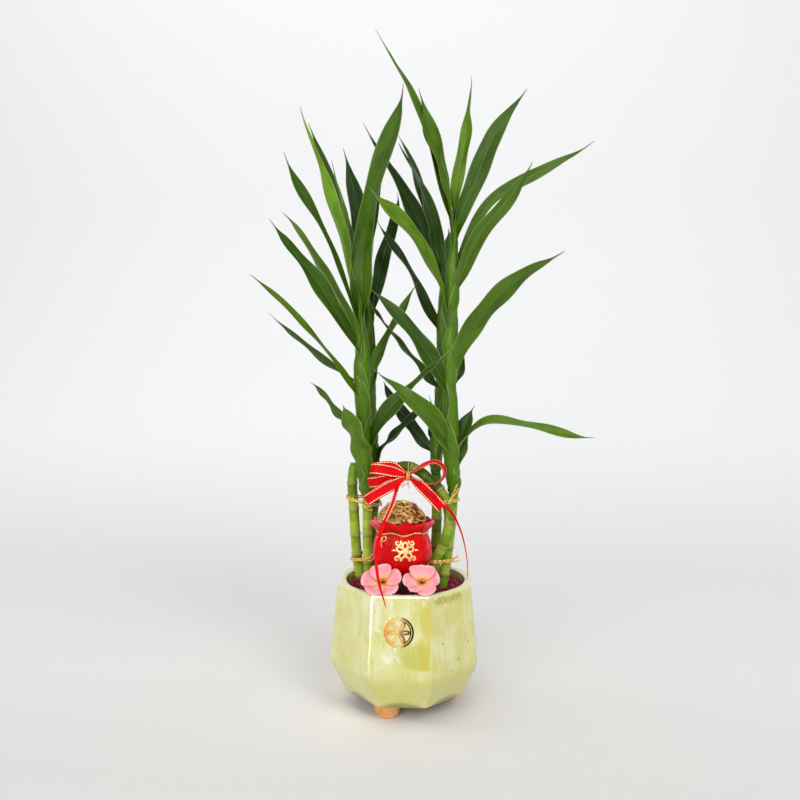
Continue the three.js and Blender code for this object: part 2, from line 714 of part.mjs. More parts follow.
function bagRing([height, halfWidth, pleat]) {
  return Array.from({ length: BAG_SIDES }, (_, i) => {
    const angle = (2 * Math.PI * i) / BAG_SIDES;
    const reach = halfWidth + pleat * Math.cos(BAG_PLEATS * angle + 0.6);
    const lift = pleat * 0.55 * Math.sin(BAG_PLEATS * angle + 1.4);
    return new THREE.Vector3(
      BAG_CENTRE[0] + reach * Math.cos(angle),
      BAG_CENTRE[1] + reach * BAG_DEPTH_SHARE * Math.sin(angle),
      BAG_BASE + height + (height > BAG_NECK.height ? lift : 0),
    );
  });
}

const PICK_FOOT = 70;
const BAG_PICK = { radius: 2.2, x: BAG_CENTRE[0] + 1, y: BAG_CENTRE[1] + 2, socket: 10 };

function pickRod(x, y, radius, from, to) {
  return new THREE.CylinderGeometry(radius, radius, to - from, 10)
    .rotateX(Math.PI / 2).translate(x, y, (from + to) / 2);
}

function bagPickBody() {
  const { x, y, radius, socket } = BAG_PICK;
  return pickRod(x, y, radius, PICK_FOOT, BAG_BASE + socket);
}

function bagBody() {
  const { x, y, radius, socket } = BAG_PICK;
  const bore = pickRod(x, y, radius + CLEARANCE, BAG_BASE - 2, BAG_BASE + socket + CLEARANCE);
  const mouth = turnedInBag([...HEAP_FOOT, ...MOUTH], CLEARANCE);
  return cut(loft(BAG_PROFILE.map(bagRing)), [bore, mouth]);
}

function bagCordBody() {
  const reach = BAG_NECK.halfWidth + 0.8 + WIRE_RADIUS + CLEARANCE;
  const points = Array.from({ length: 24 }, (_, i) => {
    const angle = (2 * Math.PI * i) / 24;
    return [
      BAG_CENTRE[0] + reach * Math.cos(angle),
      BAG_CENTRE[1] + (reach * BAG_DEPTH_SHARE + 0.5) * Math.sin(angle),
      BAG_BASE + BAG_NECK.height + 0.6 * Math.sin(4 * angle),
    ];
  });
  return wireLoop(points, WIRE_RADIUS, 26);
}

const COIN_RADIUS = 8.4;
const COIN_THICKNESS = 1.9;
const HEAP_HEIGHT = 48;
const HEAP_FOOT = [[0, -4], [17, -3], [21, -0.4]];
const HEAP_DOME = [[20, 3], [14.5, 8], [7.5, 11], [0, 12]];
const MOUTH = [[21, 8], [0, 8]];
// [across, depth, height over the heap's foot, lean in degrees, way it leans in degrees]
const COINS = [
  [9.6, -5.2, 6.4, 38, -38], [2.4, -7.4, 6.2, 40, -82], [-7.2, -7.2, 5.8, 42, -124], [-12.6, -1.5, 5.8, 38, 186],
  [12, 2.6, 6.4, 36, 10], [6.5, 7, 5.8, 40, 62], [-7, 6.8, 5.6, 40, 124],
  [8, -4, 10.4, 32, -50], [-7.5, -3.5, 10.2, 30, 205], [1.5, 4.5, 10.8, 30, 85], [0, -3, 13.4, 14, -80],
];

// A body turned about the bag's upright axis, flattened as the bag is and grown by some margin
function turnedInBag(profile, grown) {
  const grow = (size) => (size === 0 ? 0 : size + Math.sign(size) * grown);
  const outline = profile.map(([r, z]) => new THREE.Vector2(grow(r), grow(z)));
  return new THREE.LatheGeometry(outline, 14).rotateX(Math.PI / 2).scale(1, BAG_DEPTH_SHARE, 1)
    .translate(BAG_CENTRE[0], BAG_CENTRE[1], BAG_BASE + HEAP_HEIGHT);
}

function coinBody([across, depth, height, lean, way]) {
  return new THREE.CylinderGeometry(COIN_RADIUS, COIN_RADIUS, COIN_THICKNESS, 10)
    .rotateX(Math.PI / 2)
    .rotateY(THREE.MathUtils.degToRad(lean))
    .rotateZ(THREE.MathUtils.degToRad(way))
    .translate(BAG_CENTRE[0] + across, BAG_CENTRE[1] + depth, BAG_BASE + HEAP_HEIGHT + height);
}

function coinHeapBody() {
  return join([turnedInBag([...HEAP_FOOT, ...HEAP_DOME], 0), ...COINS.map(coinBody)]);
}

// Cloth blossoms: five cupped petals round a throat, each bloom on a pick of its own

const PETAL_STATIONS = [0, 0.35, 0.72, 1];
const PETAL_OUTLINE = [[0, 0.3], [0.35, 0.9], [0.72, 0.96], [1, 0.36]];
const THROAT_RADIUS = 3.4;
// angle round the bloom in degrees, length, width, cup in degrees
const BLOSSOMS = {
  blossom_left: {
    centre: [-16, -40.2, 113],
    normal: [-0.05, -0.52, 0.85],
    petals: [
      [178, 18, 16, 16], [104, 13, 17, 38], [12, 16, 16, 18], [238, 17.5, 16, 15], [304, 17, 15, 14],
    ],
  },
  blossom_right: {
    centre: [16, -39.2, 113.2],
    normal: [0.04, -0.52, 0.85],
    petals: [
      [184, 16, 14, 16], [90, 13, 20, 38], [14, 15, 17, 18], [234, 15, 13, 16], [292, 17, 15, 17],
    ],
  },
};
const BLOSSOM_PICK_RADIUS = 1.2;

function petalBody(centre, normal, [angle, length, width, cup]) {
  const right = new THREE.Vector3(1, 0, 0).addScaledVector(normal, -normal.x).normalize();
  const rise = normal.clone().cross(right);
  const bearing = THREE.MathUtils.degToRad(angle);
  const out = right.clone().multiplyScalar(Math.cos(bearing)).addScaledVector(rise, Math.sin(bearing));
  const side = normal.clone().cross(out);
  const lift = Math.tan(THREE.MathUtils.degToRad(cup));
  const sections = PETAL_STATIONS.map((s) => {
    const high = length * lift * (1.3 * s - 0.55 * s * s);
    const place = centre.clone().addScaledVector(out, length * s).addScaledVector(normal, high);
    const slope = lift * (1.3 - 1.1 * s);
    const along = out.clone().addScaledVector(normal, slope).normalize();
    return { place, side, face: along.clone().cross(side), width: width * profileAt(PETAL_OUTLINE, s) };
  });
  return strip(sections, { edge: 0.7, rib: 0.9, channel: 0.2 });
}

function blossomBody({ centre, normal, petals }) {
  const middle = vec(centre);
  const facing = vec(normal).normalize();
  const turn = new THREE.Quaternion().setFromUnitVectors(new THREE.Vector3(0, 1, 0), facing);
  const throat = new THREE.CylinderGeometry(THROAT_RADIUS, THROAT_RADIUS * 0.5, 4, 10)
    .applyQuaternion(turn).translate(...centre);
  return join([throat, ...petals.map((petal) => petalBody(middle, facing, petal))]);
}

// Where a blossom's pick turns from upright towards the throat
const pickBend = (centre, normal) => vec(centre).addScaledVector(vec(normal).normalize(), -9);

function blossomPick({ centre, normal }) {
  const facing = vec(normal).normalize();
  const top = vec(centre).addScaledVector(facing, -2 - CLEARANCE - BLOSSOM_PICK_RADIUS * 0.6);
  const bend = pickBend(centre, normal);
  const route = routeThrough([
    [bend.x, bend.y + 1.5, 66], [bend.x, bend.y + 0.5, SOIL_TOP], bend.toArray(), top.toArray(),
  ]);
  return rod(route, evenStations(6), () => BLOSSOM_PICK_RADIUS, 6);
}

// Soil and gravel: a plain fill, and a layer of loose pebbles over it, holed for what stands in them

function plantHoles() {
  const canes = Object.values(CANES).map((cane) => caneHole(cane));
  const { x, y, radius } = BAG_PICK;
  const blossomRoots = Object.values(BLOSSOMS).map(({ centre, normal }) => {
    const bend = pickBend(centre, normal);
    const route = routeThrough([
      [bend.x, bend.y + 1.5, 65.5], [bend.x, bend.y + 0.5, SOIL_TOP], [bend.x, bend.y, 112],
    ]);
    return rod(route, evenStations(4), () => BLOSSOM_PICK_RADIUS + CLEARANCE + 0.2, 8);
  });
  const bagRoot = pickRod(x, y, radius + CLEARANCE, PICK_FOOT - CLEARANCE, 118);
  return [...canes, caneHole(CANES.cane_arch, true), bagRoot, ...blossomRoots];
}

// Loose chippings: a bed whose top is drawn up and down from point to point
function gravelBody() {
  const draw = seededDraw(7);
  const reach = POT_MOUTH_RADIUS - CLEARANCE - 0.4;
  const ring = (radius, z, rough) => Array.from({ length: GRAVEL_SIDES }, (_, i) => {
    const angle = (2 * Math.PI * (i + rough * (draw() - 0.5) * 0.7)) / GRAVEL_SIDES;
    const out = radius + rough * (draw() - 0.5) * 2.6;
    const high = z + rough * (draw() - 0.5) * GRAVEL_ROUGHNESS;
    return new THREE.Vector3(out * Math.cos(angle), out * Math.sin(angle), high);
  });
  const rows = Array.from({ length: GRAVEL_ROWS }, (_, k) => {
    const radius = reach * (1 - (k + 0.8) / (GRAVEL_ROWS + 0.6));
    return ring(radius, GRAVEL_LEVEL, 1);
  });
  const bed = loft([ring(reach, SOIL_TOP, 0), ring(reach, GRAVEL_LEVEL - 1, 0), ...rows]);
  return cut(bed, plantHoles());
}

// The arrangement

const FINISH = {
  glaze: { color: 0xd4d68a, roughness: 0.18, metalness: 0 },
  clay: { color: 0xdfa274, roughness: 0.85, metalness: 0 },
  soil: { color: 0x3a2a1f, roughness: 0.95, metalness: 0 },
  gravel: { color: 0x8c2742, roughness: 0.8, metalness: 0 },
  cane: { color: 0x7f9f38, roughness: 0.45, metalness: 0 },
  leaf: { color: 0x3e7426, roughness: 0.45, metalness: 0 },
  gold: { color: 0xd9a83e, roughness: 0.3, metalness: 1 },
  ribbon: { color: 0xe3131f, roughness: 0.5, metalness: 0 },
  lacquer: { color: 0xd41414, roughness: 0.25, metalness: 0 },
  coin: { color: 0xb58a3c, roughness: 0.4, metalness: 0.8 },
  pick: { color: 0x4c7a35, roughness: 0.6, metalness: 0 },
  petal: { color: 0xf4a3ac, roughness: 0.75, metalness: 0 },
};

const arrangement = new THREE.Group();

function place(name, geometry, finish, parent = arrangement) {
  const mesh = new THREE.Mesh(geometry, new THREE.MeshStandardMaterial(FINISH[finish]));
  mesh.name = name;
  parent.add(mesh);
  return mesh;
}

place('pot', potBody(), 'glaze');
['foot_front', 'foot_right', 'foot_back'].forEach((name, i) => {
  const angle = FOOT_FIRST_ANGLE + (2 * Math.PI * i) / FOOT_COUNT;
  const foot = place(name, footBody(), 'clay');
  foot.position.set(FOOT_RING_RADIUS * Math.cos(angle), FOOT_RING_RADIUS * Math.sin(angle), 0);
});
place('soil', cut(potInside(CLEARANCE, SOIL_TOP), plantHoles()), 'soil');
place('gravel', gravelBody(), 'gravel');
for (const [name, cane] of Object.entries(CANES)) {
  place(name, caneBody(cane), 'cane');
}
for (const [name, shoot] of Object.entries(SHOOTS)) {
  place(name, shootBody(shoot), 'leaf');
}
for (const [name, tie] of Object.entries(TIES)) {
  place(name, tieBody(tie), 'gold');
}
place('bow_wire', bowWireBody(), 'gold');
place('ribbon_bow', ribbonBody(), 'ribbon');
place('money_bag', bagBody(), 'lacquer');
place('bag_coins', coinHeapBody(), 'coin');
place('bag_cord', bagCordBody(), 'gold');
place('bag_pick', bagPickBody(), 'pick');
for (const [name, bloom] of Object.entries(BLOSSOMS)) {
  place(name, blossomBody(bloom), 'petal');
  place(`${name}_pick`, blossomPick(bloom), 'pick');
}

// The part stands on Z = 0 with its box centred on X = Y = 0
const box = new THREE.Box3().setFromObject(arrangement);
const middle = box.getCenter(new THREE.Vector3());
arrangement.position.set(-middle.x, -middle.y, 0);

const luckyBamboo = new THREE.Group();
luckyBamboo.add(arrangement);

export default luckyBamboo;
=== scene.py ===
"""Lucky bamboo in a footed octagonal pot, with its bow, money bag and two blossoms.

Shapes are worked out in millimetres from the pot's axis, with +Z up and the front along -Y,
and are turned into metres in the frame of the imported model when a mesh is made.
"""

from __future__ import annotations

import logging
import math
from dataclasses import dataclass, field
from enum import Enum
from typing import Any, Callable, ClassVar, NamedTuple, Sequence

import bmesh
import bpy
import numpy as np
from mathutils import Euler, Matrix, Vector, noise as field_noise
from mathutils.geometry import convex_hull_2d


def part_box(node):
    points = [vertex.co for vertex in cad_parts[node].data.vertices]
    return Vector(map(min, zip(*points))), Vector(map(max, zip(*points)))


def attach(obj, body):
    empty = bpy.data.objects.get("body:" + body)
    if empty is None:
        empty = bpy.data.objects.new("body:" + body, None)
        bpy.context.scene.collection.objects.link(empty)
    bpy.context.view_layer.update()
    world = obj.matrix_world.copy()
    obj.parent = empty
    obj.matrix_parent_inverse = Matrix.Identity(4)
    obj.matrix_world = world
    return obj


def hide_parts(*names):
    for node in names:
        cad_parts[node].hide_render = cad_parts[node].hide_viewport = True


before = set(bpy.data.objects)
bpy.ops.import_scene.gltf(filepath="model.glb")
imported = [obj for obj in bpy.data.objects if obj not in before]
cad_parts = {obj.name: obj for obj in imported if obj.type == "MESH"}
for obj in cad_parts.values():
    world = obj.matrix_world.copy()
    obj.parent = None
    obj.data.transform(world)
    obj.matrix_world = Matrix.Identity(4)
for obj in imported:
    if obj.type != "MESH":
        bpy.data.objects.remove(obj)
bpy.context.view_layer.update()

LOG = logging.getLogger("lucky_bamboo")
MM = 0.001
BODY = "root"
UP = np.array([0.0, 0.0, 1.0])

Colour = tuple[float, float, float, float]
Table = Sequence[Sequence[float]]
Settings = Sequence[tuple[str, str]]
Socket = bpy.types.NodeSocket


# Numbers and curves

def unit(vectors: Any) -> np.ndarray:
    """The vectors at length one."""
    vectors = np.asarray(vectors, float)
    return vectors / np.maximum(np.linalg.norm(vectors, axis=-1, keepdims=True), 1e-12)


def smooth(value: Any) -> Any:
    """An even rise from 0 to 1 that starts and ends level."""
    share = np.clip(value, 0.0, 1.0)
    return share * share * (3 - 2 * share)


def across(vector: Any, along: np.ndarray) -> np.ndarray:
    """The part of a vector that stands square to another one, at length one."""
    vector = np.asarray(vector, float)
    return unit(vector - along * np.sum(vector * along, axis=-1, keepdims=True))


def turns(count: int) -> np.ndarray:
    """Even angles round a circle."""
    return np.linspace(0, math.tau, count, endpoint=False)


def around(angle: Any, radius: Any = 1.0, centre: Sequence[float] = (0, 0)) -> np.ndarray:
    """Flat points at some angles round a centre."""
    return np.stack([centre[0] + radius * np.cos(angle), centre[1] + radius * np.sin(angle)], axis=-1)


def straight(table: Table, place: Any) -> Any:
    """Reads a table of [place, value] pairs on straight lines between them."""
    places, values = np.array(table, float).T[:2]
    return np.interp(place, places, values)


def eased(table: Table, place: Any) -> np.ndarray:
    """Reads a table of [place, value] pairs on a soft curve that never overshoots them.

    Args:
        table: The pairs, by rising place.
        place: Where to read.

    Returns:
        The values there.
    """
    xs, ys = np.array(table, float).T[:2]
    steps = np.diff(ys) / np.diff(xs)
    slopes = np.zeros(len(xs))
    slopes[0], slopes[-1] = steps[0], steps[-1]
    both = steps[:-1] * steps[1:]
    slopes[1:-1] = np.where(both > 0, 2 * both / np.where(both > 0, steps[:-1] + steps[1:], 1), 0)
    x = np.clip(np.asarray(place, float), xs[0], xs[-1])
    k = np.clip(np.searchsorted(xs, x, side="right") - 1, 0, len(xs) - 2)
    run = xs[k + 1] - xs[k]
    t = (x - xs[k]) / run
    return (
        ys[k] * (1 + 2 * t) * (1 - t) ** 2 + slopes[k] * run * t * (1 - t) ** 2
        + ys[k + 1] * t * t * (3 - 2 * t) + slopes[k + 1] * run * t * t * (t - 1)
    )


class Route:
    """A smooth curve through points, read by the share of its length."""

    SAMPLES: ClassVar[int] = 48

    def __init__(self, points: Sequence[Sequence[float]], closed: bool = False) -> None:
        """Lays the curve.

        Args:
            points: The points it passes, in millimetres.
            closed: Whether it comes back to the first one.
        """
        p = np.array(points, float)
        if closed:
            padded = np.vstack([p[-1:], p, p[:2]])
        else:
            padded = np.vstack([2 * p[:1] - p[1:2], p, 2 * p[-1:] - p[-2:-1]])
        before, start, end, after = padded[:-3], padded[1:-2], padded[2:-1], padded[3:]
        gaps = [np.sqrt(np.linalg.norm(b - a, axis=1, keepdims=True))
                for a, b in ((before, start), (start, end), (end, after))]
        lead, run, trail = (np.maximum(gap, 1e-6) for gap in gaps)
        out = (start - before) / lead - (end - before) / (lead + run) + (end - start) / run
        back = (end - start) / run - (after - start) / (run + trail) + (after - end) / trail
        out, back = out * run, back * run
        self._terms = (start, out, 3 * (end - start) - 2 * out - back, 2 * (start - end) + out + back)
        self._spans = len(start)
        self._where = np.linspace(0, self._spans, self._spans * self.SAMPLES + 1)
        trace = self._read(self._where)
        self._far = np.concatenate([[0], np.cumsum(np.linalg.norm(np.diff(trace, axis=0), axis=1))])
        self.length = float(self._far[-1])

    def _read(self, where: np.ndarray) -> np.ndarray:
        """Points at places counted in spans.

        Args:
            where: The places.

        Returns:
            Their coordinates.
        """
        span = np.clip(where.astype(int), 0, self._spans - 1)
        t = (where - span)[:, None]
        a, b, c, d = (term[span] for term in self._terms)
        return a + t * (b + t * (c + t * d))

    def at(self, share: Any) -> np.ndarray:
        """Points at shares of the length."""
        far = np.atleast_1d(share) * self.length
        return self._read(np.interp(far, self._far, self._where))

    def way(self, share: Any) -> np.ndarray:
        """Directions of travel at shares of the length.

        Args:
            share: The shares.

        Returns:
            A unit vector for each.
        """
        share = np.atleast_1d(share)
        step = 0.4 / self.length
        low, high = np.clip(share - step, 0, 1), np.clip(share + step, 0, 1)
        return unit(self.at(high) - self.at(low))

    def share_at_height(self, z: Any) -> Any:
        """The shares of the length where a rising curve reaches some heights."""
        shares = np.linspace(0, 1, 600)
        return np.interp(z, self.at(shares)[:, 2], shares)


# Meshes

def axis_foot() -> np.ndarray:
    """Where the pot's axis meets the table in the frame."""
    low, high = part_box("pot")
    return np.array([(low.x + high.x) / 2, (low.y + high.y) / 2, 0.0])


AXIS_FOOT = axis_foot()


def metres(points: Any) -> np.ndarray:
    """Frame coordinates of points in millimetres from the pot's axis."""
    return np.asarray(points, float) * MM + AXIS_FOOT


class Draft:
    """A mesh in the making: points in millimetres, faces, finishes and numbers kept at each point."""

    def __init__(self) -> None:
        """Starts an empty draft."""
        self._points: list[np.ndarray] = []
        self._faces: list[list[int]] = []
        self._slots: list[int] = []
        self._tags: dict[str, list[np.ndarray]] = {}
        self._count = 0

    def add(self, points: np.ndarray, faces: Sequence[Sequence[int]], slot: int = 0, **tags: Any) -> None:
        """Adds points with the faces between them.

        Args:
            points: Their coordinates.
            faces: Point numbers of each face, from this call's first.
            slot: Which of the piece's finishes they take.
            **tags: A number for every point, or one for all.
        """
        points = np.asarray(points, float).reshape(-1, 3)
        for name in tags.keys() | self._tags.keys():
            rows = self._tags.setdefault(name, [np.zeros(self._count)])
            rows.append(np.full(len(points), tags.get(name, 0.0), float))
        self._points.append(points)
        self._faces.extend([self._count + k for k in face] for face in faces)
        self._slots.extend([slot] * len(faces))
        self._count += len(points)

    def skin(
        self, rows: np.ndarray, ring: bool = True, loop: bool = False, capped: bool = True,
        slot: int = 0, **tags: Any,
    ) -> Draft:
        """Lays a skin over rows of points.

        Args:
            rows: Rows, points and coordinates.
            ring: Whether each row closes on itself.
            loop: Whether the last row meets the first.
            capped: Whether a tube's ends are closed.
            slot: Which of the piece's finishes it takes.
            **tags: A number for every point or row, or one for all.

        Returns:
            This draft.
        """
        count, wide = rows.shape[:2]
        spread = {name: self._spread(value, count, wide) for name, value in tags.items()}
        faces = []
        i = np.arange(wide if ring else wide - 1)
        j = (i + 1) % wide
        for k in range(count if loop else count - 1):
            low, high = k * wide, ((k + 1) % count) * wide
            faces += np.column_stack([low + i, low + j, high + j, high + i]).tolist()
        points = rows.reshape(-1, 3)
        if capped and ring and not loop:
            last = (count - 1) * wide
            points = np.vstack([points, rows[0].mean(0), rows[-1].mean(0)])
            foot = np.full(wide, count * wide)
            faces += np.column_stack([foot, j, i]).tolist()
            faces += np.column_stack([foot + 1, last + i, last + j]).tolist()
            for name, values in spread.items():
                ends = [values[:wide].mean(), values[-wide:].mean()]
                spread[name] = np.concatenate([values, ends])
        self.add(points, faces, slot, **spread)
        return self

    def thin(self, points: np.ndarray, shift: np.ndarray, v: np.ndarray, **tags: Any) -> None:
        """Lays a thin skin with an upper and an under face, tagged with the places across it.

        Args:
            points: Rows of points on its middle layer.
            shift: The way from there to the upper face.
            v: Places across it, from -1 to 1.
            **tags: As for any skin.
        """
        rows = np.concatenate([points + shift, (points - shift)[:, ::-1]], axis=1)
        self.skin(rows, side=np.concatenate([v, v[::-1]])[None], **tags)

    @staticmethod
    def _spread(value: Any, count: int, wide: int) -> np.ndarray:
        """A tag's number for every point of a skin.

        Args:
            value: One for all, one a row or one a point.
            count: Rows.
            wide: Points to a row.

        Returns:
            The numbers.
        """
        value = np.asarray(value, float)
        if value.ndim == 1 and len(value) == count:
            value = value[:, None]
        return np.full((count, wide), value).ravel()

    def build(
        self, name: str, finishes: Sequence[Finish], slot: str = "", nodes: Sequence[str] = (),
        sharp: float = 40,
    ) -> bpy.types.Object:
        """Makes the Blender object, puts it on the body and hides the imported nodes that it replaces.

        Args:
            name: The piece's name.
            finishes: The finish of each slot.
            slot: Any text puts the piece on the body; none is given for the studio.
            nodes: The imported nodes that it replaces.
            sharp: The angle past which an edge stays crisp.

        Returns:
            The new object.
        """
        mesh = bpy.data.meshes.new(name)
        mesh.from_pydata(metres(np.vstack(self._points)).tolist(), [], self._faces)
        mesh.polygons.foreach_set("material_index", self._slots)
        for tag, rows in self._tags.items():
            kept = mesh.attributes.new(tag, "FLOAT", "POINT")
            kept.data.foreach_set("value", np.concatenate(rows).astype(np.float32))
        shell = bmesh.new()
        shell.from_mesh(mesh)
        bmesh.ops.recalc_face_normals(shell, faces=shell.faces)
        shell.to_mesh(mesh)
        shell.free()
        mesh.shade_smooth()
        mesh.set_sharp_from_angle(angle=math.radians(sharp))
        for finish in finishes:
            mesh.materials.append(finish.material())
        piece = bpy.data.objects.new(name, mesh)
        bpy.context.scene.collection.objects.link(piece)
        if slot:
            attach(piece, BODY)
        if nodes:
            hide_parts(*nodes)
        LOG.info("%s: %d faces", name, len(mesh.polygons))
        return piece


def tube(
    centres: np.ndarray, ways: np.ndarray, radii: Any, sides: int, reference: Sequence[float] = (0, 1, 0),
) -> np.ndarray:
    """Rings of points round a line.

    Args:
        centres: The line.
        ways: Its direction at each point, or one for all.
        radii: The radius, likewise.
        sides: Points to a ring.
        reference: Where a ring's first point looks.

    Returns:
        Rings, points and coordinates.
    """
    ways = np.broadcast_to(ways, centres.shape)
    side = across(reference, ways)
    other = np.cross(ways, side)
    angle = turns(sides)[None, :, None]
    reach = np.full(len(centres), radii, float)[:, None, None]
    return centres[:, None] + reach * (np.cos(angle) * side[:, None] + np.sin(angle) * other[:, None])


def turned(profile: Sequence[Sequence[float]], sides: int, centre: Sequence[float] = (0, 0)) -> np.ndarray:
    """Rings of a turned body.

    Args:
        profile: Its outline as [radius, height] pairs.
        sides: Points to a ring.
        centre: Where its axis stands.

    Returns:
        Rings, points and coordinates.
    """
    reach, height = np.array(profile, float).T
    flat = around(turns(sides), reach[:, None], centre)
    return np.dstack([flat, np.broadcast_to(height[:, None], flat.shape[:2])])


def rounded(corners: Table, radii: Sequence[float], steps: int = 6) -> np.ndarray:
    """A flat outline with its inner corners rounded off.

    Args:
        corners: Its points.
        radii: How far before each inner corner its round starts.
        steps: Points to a round.

    Returns:
        The outline's points.
    """
    p = np.array(corners, float)
    made = [p[:1]]
    for k, reach in enumerate(radii, start=1):
        if reach <= 0:
            made.append(p[k:k + 1])
            continue
        start = p[k] + unit(p[k - 1] - p[k]) * reach
        end = p[k] + unit(p[k + 1] - p[k]) * reach
        t = np.linspace(0, 1, steps)[:, None]
        made.append(start * (1 - t) ** 2 + p[k] * 2 * t * (1 - t) + end * t * t)
    made.append(p[-1:])
    return np.vstack(made)


# Finishes

def tone(code: str) -> Colour:
    """The linear colour of a six-digit sRGB code.

    Args:
        code: The code, with its hash sign.

    Returns:
        Red, green, blue and full opacity.
    """
    levels = [int(code[k:k + 2], 16) / 255 for k in (1, 3, 5)]
    linear = [v / 12.92 if v <= 0.04045 else ((v + 0.055) / 1.055) ** 2.4 for v in levels]
    return (linear[0], linear[1], linear[2], 1.0)


class Painter:
    """Lays out the nodes of one material round its shader."""

    def __init__(self, name: str) -> None:
        """Starts a material with a plain shader.

        Args:
            name: The material's name.
        """
        self.material = bpy.data.materials.new(name)
        self.material.use_nodes = True
        self._nodes = self.material.node_tree.nodes
        self._links = self.material.node_tree.links
        self._shader = self._nodes["Principled BSDF"]
        self._place = self.wired("TexCoord", "Object")
        self._raised: Socket | None = None
        self.colour: Any = "#808080"

    def feed(self, socket: Socket, value: Any) -> None:
        """Links a socket to another one, or gives it a plain value or the colour of a code.

        Args:
            socket: The input.
            value: What it gets.
        """
        if isinstance(value, Socket):
            self._links.new(value, socket)
        else:
            socket.default_value = tone(value) if isinstance(value, str) else value

    def wired(self, kind: str, result: Any, *first: Any, settings: Settings = (), **named: Any) -> Socket:
        """A new node, its inputs fed in order or by name.

        Args:
            kind: What follows ShaderNode in its type.
            result: The output that is wanted.
            *first: Values of its first inputs.
            settings: Its settings.
            **named: Values by the input's name.

        Returns:
            The output.
        """
        made = self._nodes.new(f"ShaderNode{kind}")
        for key, value in settings:
            setattr(made, key, value)
        for socket, value in zip(made.inputs, first):
            self.feed(socket, value)
        for key, value in named.items():
            self.feed(made.inputs[key.replace("_", " ")], value)
        return made.outputs[result]

    def shade(self, **values: Any) -> None:
        """Sets the shader's sockets by name, with underscores for spaces."""
        for key, value in values.items():
            self.feed(self._shader.inputs[key.replace("_", " ")], value)

    def tag(self, name: str) -> Socket:
        """A number kept at the mesh's points."""
        return self.wired("Attribute", "Fac", settings=[("attribute_name", name)])

    def laid(self, x: Any, y: Any, z: Any = 0.0) -> Socket:
        """A place put together from three numbers."""
        return self.wired("CombineXYZ", 0, x, y, z)

    def place(self, *scale: float, of: Socket | None = None) -> Socket:
        """A place stretched along its axes: the one on the piece in metres, unless another is given."""
        return self.wired("VectorMath", 0, of or self._place, scale, settings=[("operation", "MULTIPLY")])

    def noise(
        self, size: float, detail: float = 3, rough: float = 0.5, place: Socket | None = None,
    ) -> Socket:
        """Soft clouds.

        Args:
            size: Their size in millimetres, or in the units of the place.
            detail: How many finer layers they have.
            rough: How strong those are.
            place: Where to read them, unless on the piece.

        Returns:
            A number from 0 to 1.
        """
        scale = 1 / size if place else 1 / (size * MM)
        where = place or self._place
        return self.wired("TexNoise", 0, Vector=where, Scale=scale, Detail=detail, Roughness=rough)

    def dots(self, size: float) -> Socket:
        """The distance to scattered points, with their spacing in millimetres."""
        return self.wired("TexVoronoi", "Distance", Vector=self._place, Scale=1 / (size * MM))

    def sum(self, operation: str, first: Any, second: Any = 0.0) -> Socket:
        """One step of arithmetic on two numbers."""
        return self.wired("Math", 0, first, second, settings=[("operation", operation)])

    def band(self, value: Any, low: float, high: float) -> Socket:
        """A soft step from 0 at low to 1 at high."""
        return self.wired("MapRange", 0, value, low, high, settings=[("interpolation_type", "SMOOTHSTEP")])

    def scaled(self, value: Any, low: float, high: float) -> Socket:
        """A number from 0 to 1 spread from low to high."""
        return self.wired("MapRange", 0, value, 0.0, 1.0, low, high)

    def ramp(self, value: Any, *stops: tuple[float, str]) -> Socket:
        """A colour read from stops of place and colour code.

        Args:
            value: The place on the ramp.
            *stops: Its stops, by rising place.

        Returns:
            The colour.
        """
        colour = self.wired("ValToRGB", 0, value)
        held = colour.node.color_ramp.elements
        while len(held) < len(stops):
            held.new(0.5)
        for element, (place, code) in zip(held, stops):
            element.position = place
            element.color = tone(code)
        return colour

    def mix(self, share: Any, first: Any, second: Any) -> Socket:
        """Two colours mixed, each a socket or a colour code.

        Args:
            share: How much of the second shows.
            first: One colour.
            second: The other.

        Returns:
            The mixture.
        """
        mixed = self.wired("Mix", 2, share, settings=[("data_type", "RGBA")])
        self.feed(mixed.node.inputs[6], first)
        self.feed(mixed.node.inputs[7], second)
        return mixed

    def over(self, mask: Any, share: Any, second: Any) -> None:
        """Lays another colour over the one so far, where a mask says and by a share of that."""
        self.colour = self.mix(self.sum("MULTIPLY", mask, share), self.colour, second)

    def bump(self, height: Any, depth: float, strength: float = 1.0) -> None:
        """Raises the surface by a number from 0 to 1.

        Args:
            height: The number.
            depth: What it stands for in millimetres.
            strength: How much of it shows.
        """
        under = {} if self._raised is None else {"Normal": self._raised}
        self._raised = self.wired("Bump", 0, Height=height, Distance=depth * MM, Strength=strength, **under)
        self.shade(Normal=self._raised)


@dataclass(frozen=True)
class Finish:
    """What all finishes share: a name and one material, made the first time that it is needed."""

    name: str

    def material(self) -> bpy.types.Material:
        """The material of this finish.

        Returns:
            The one that was made first, if it is asked for again.
        """
        known = bpy.data.materials.get(self.name)
        if known is not None:
            return known
        ink = Painter(self.name)
        self.paint(ink)
        ink.shade(Base_Color=ink.colour)
        return ink.material

    def paint(self, ink: Painter) -> None:
        """Lays out the material's nodes and sets its colour."""
        raise NotImplementedError


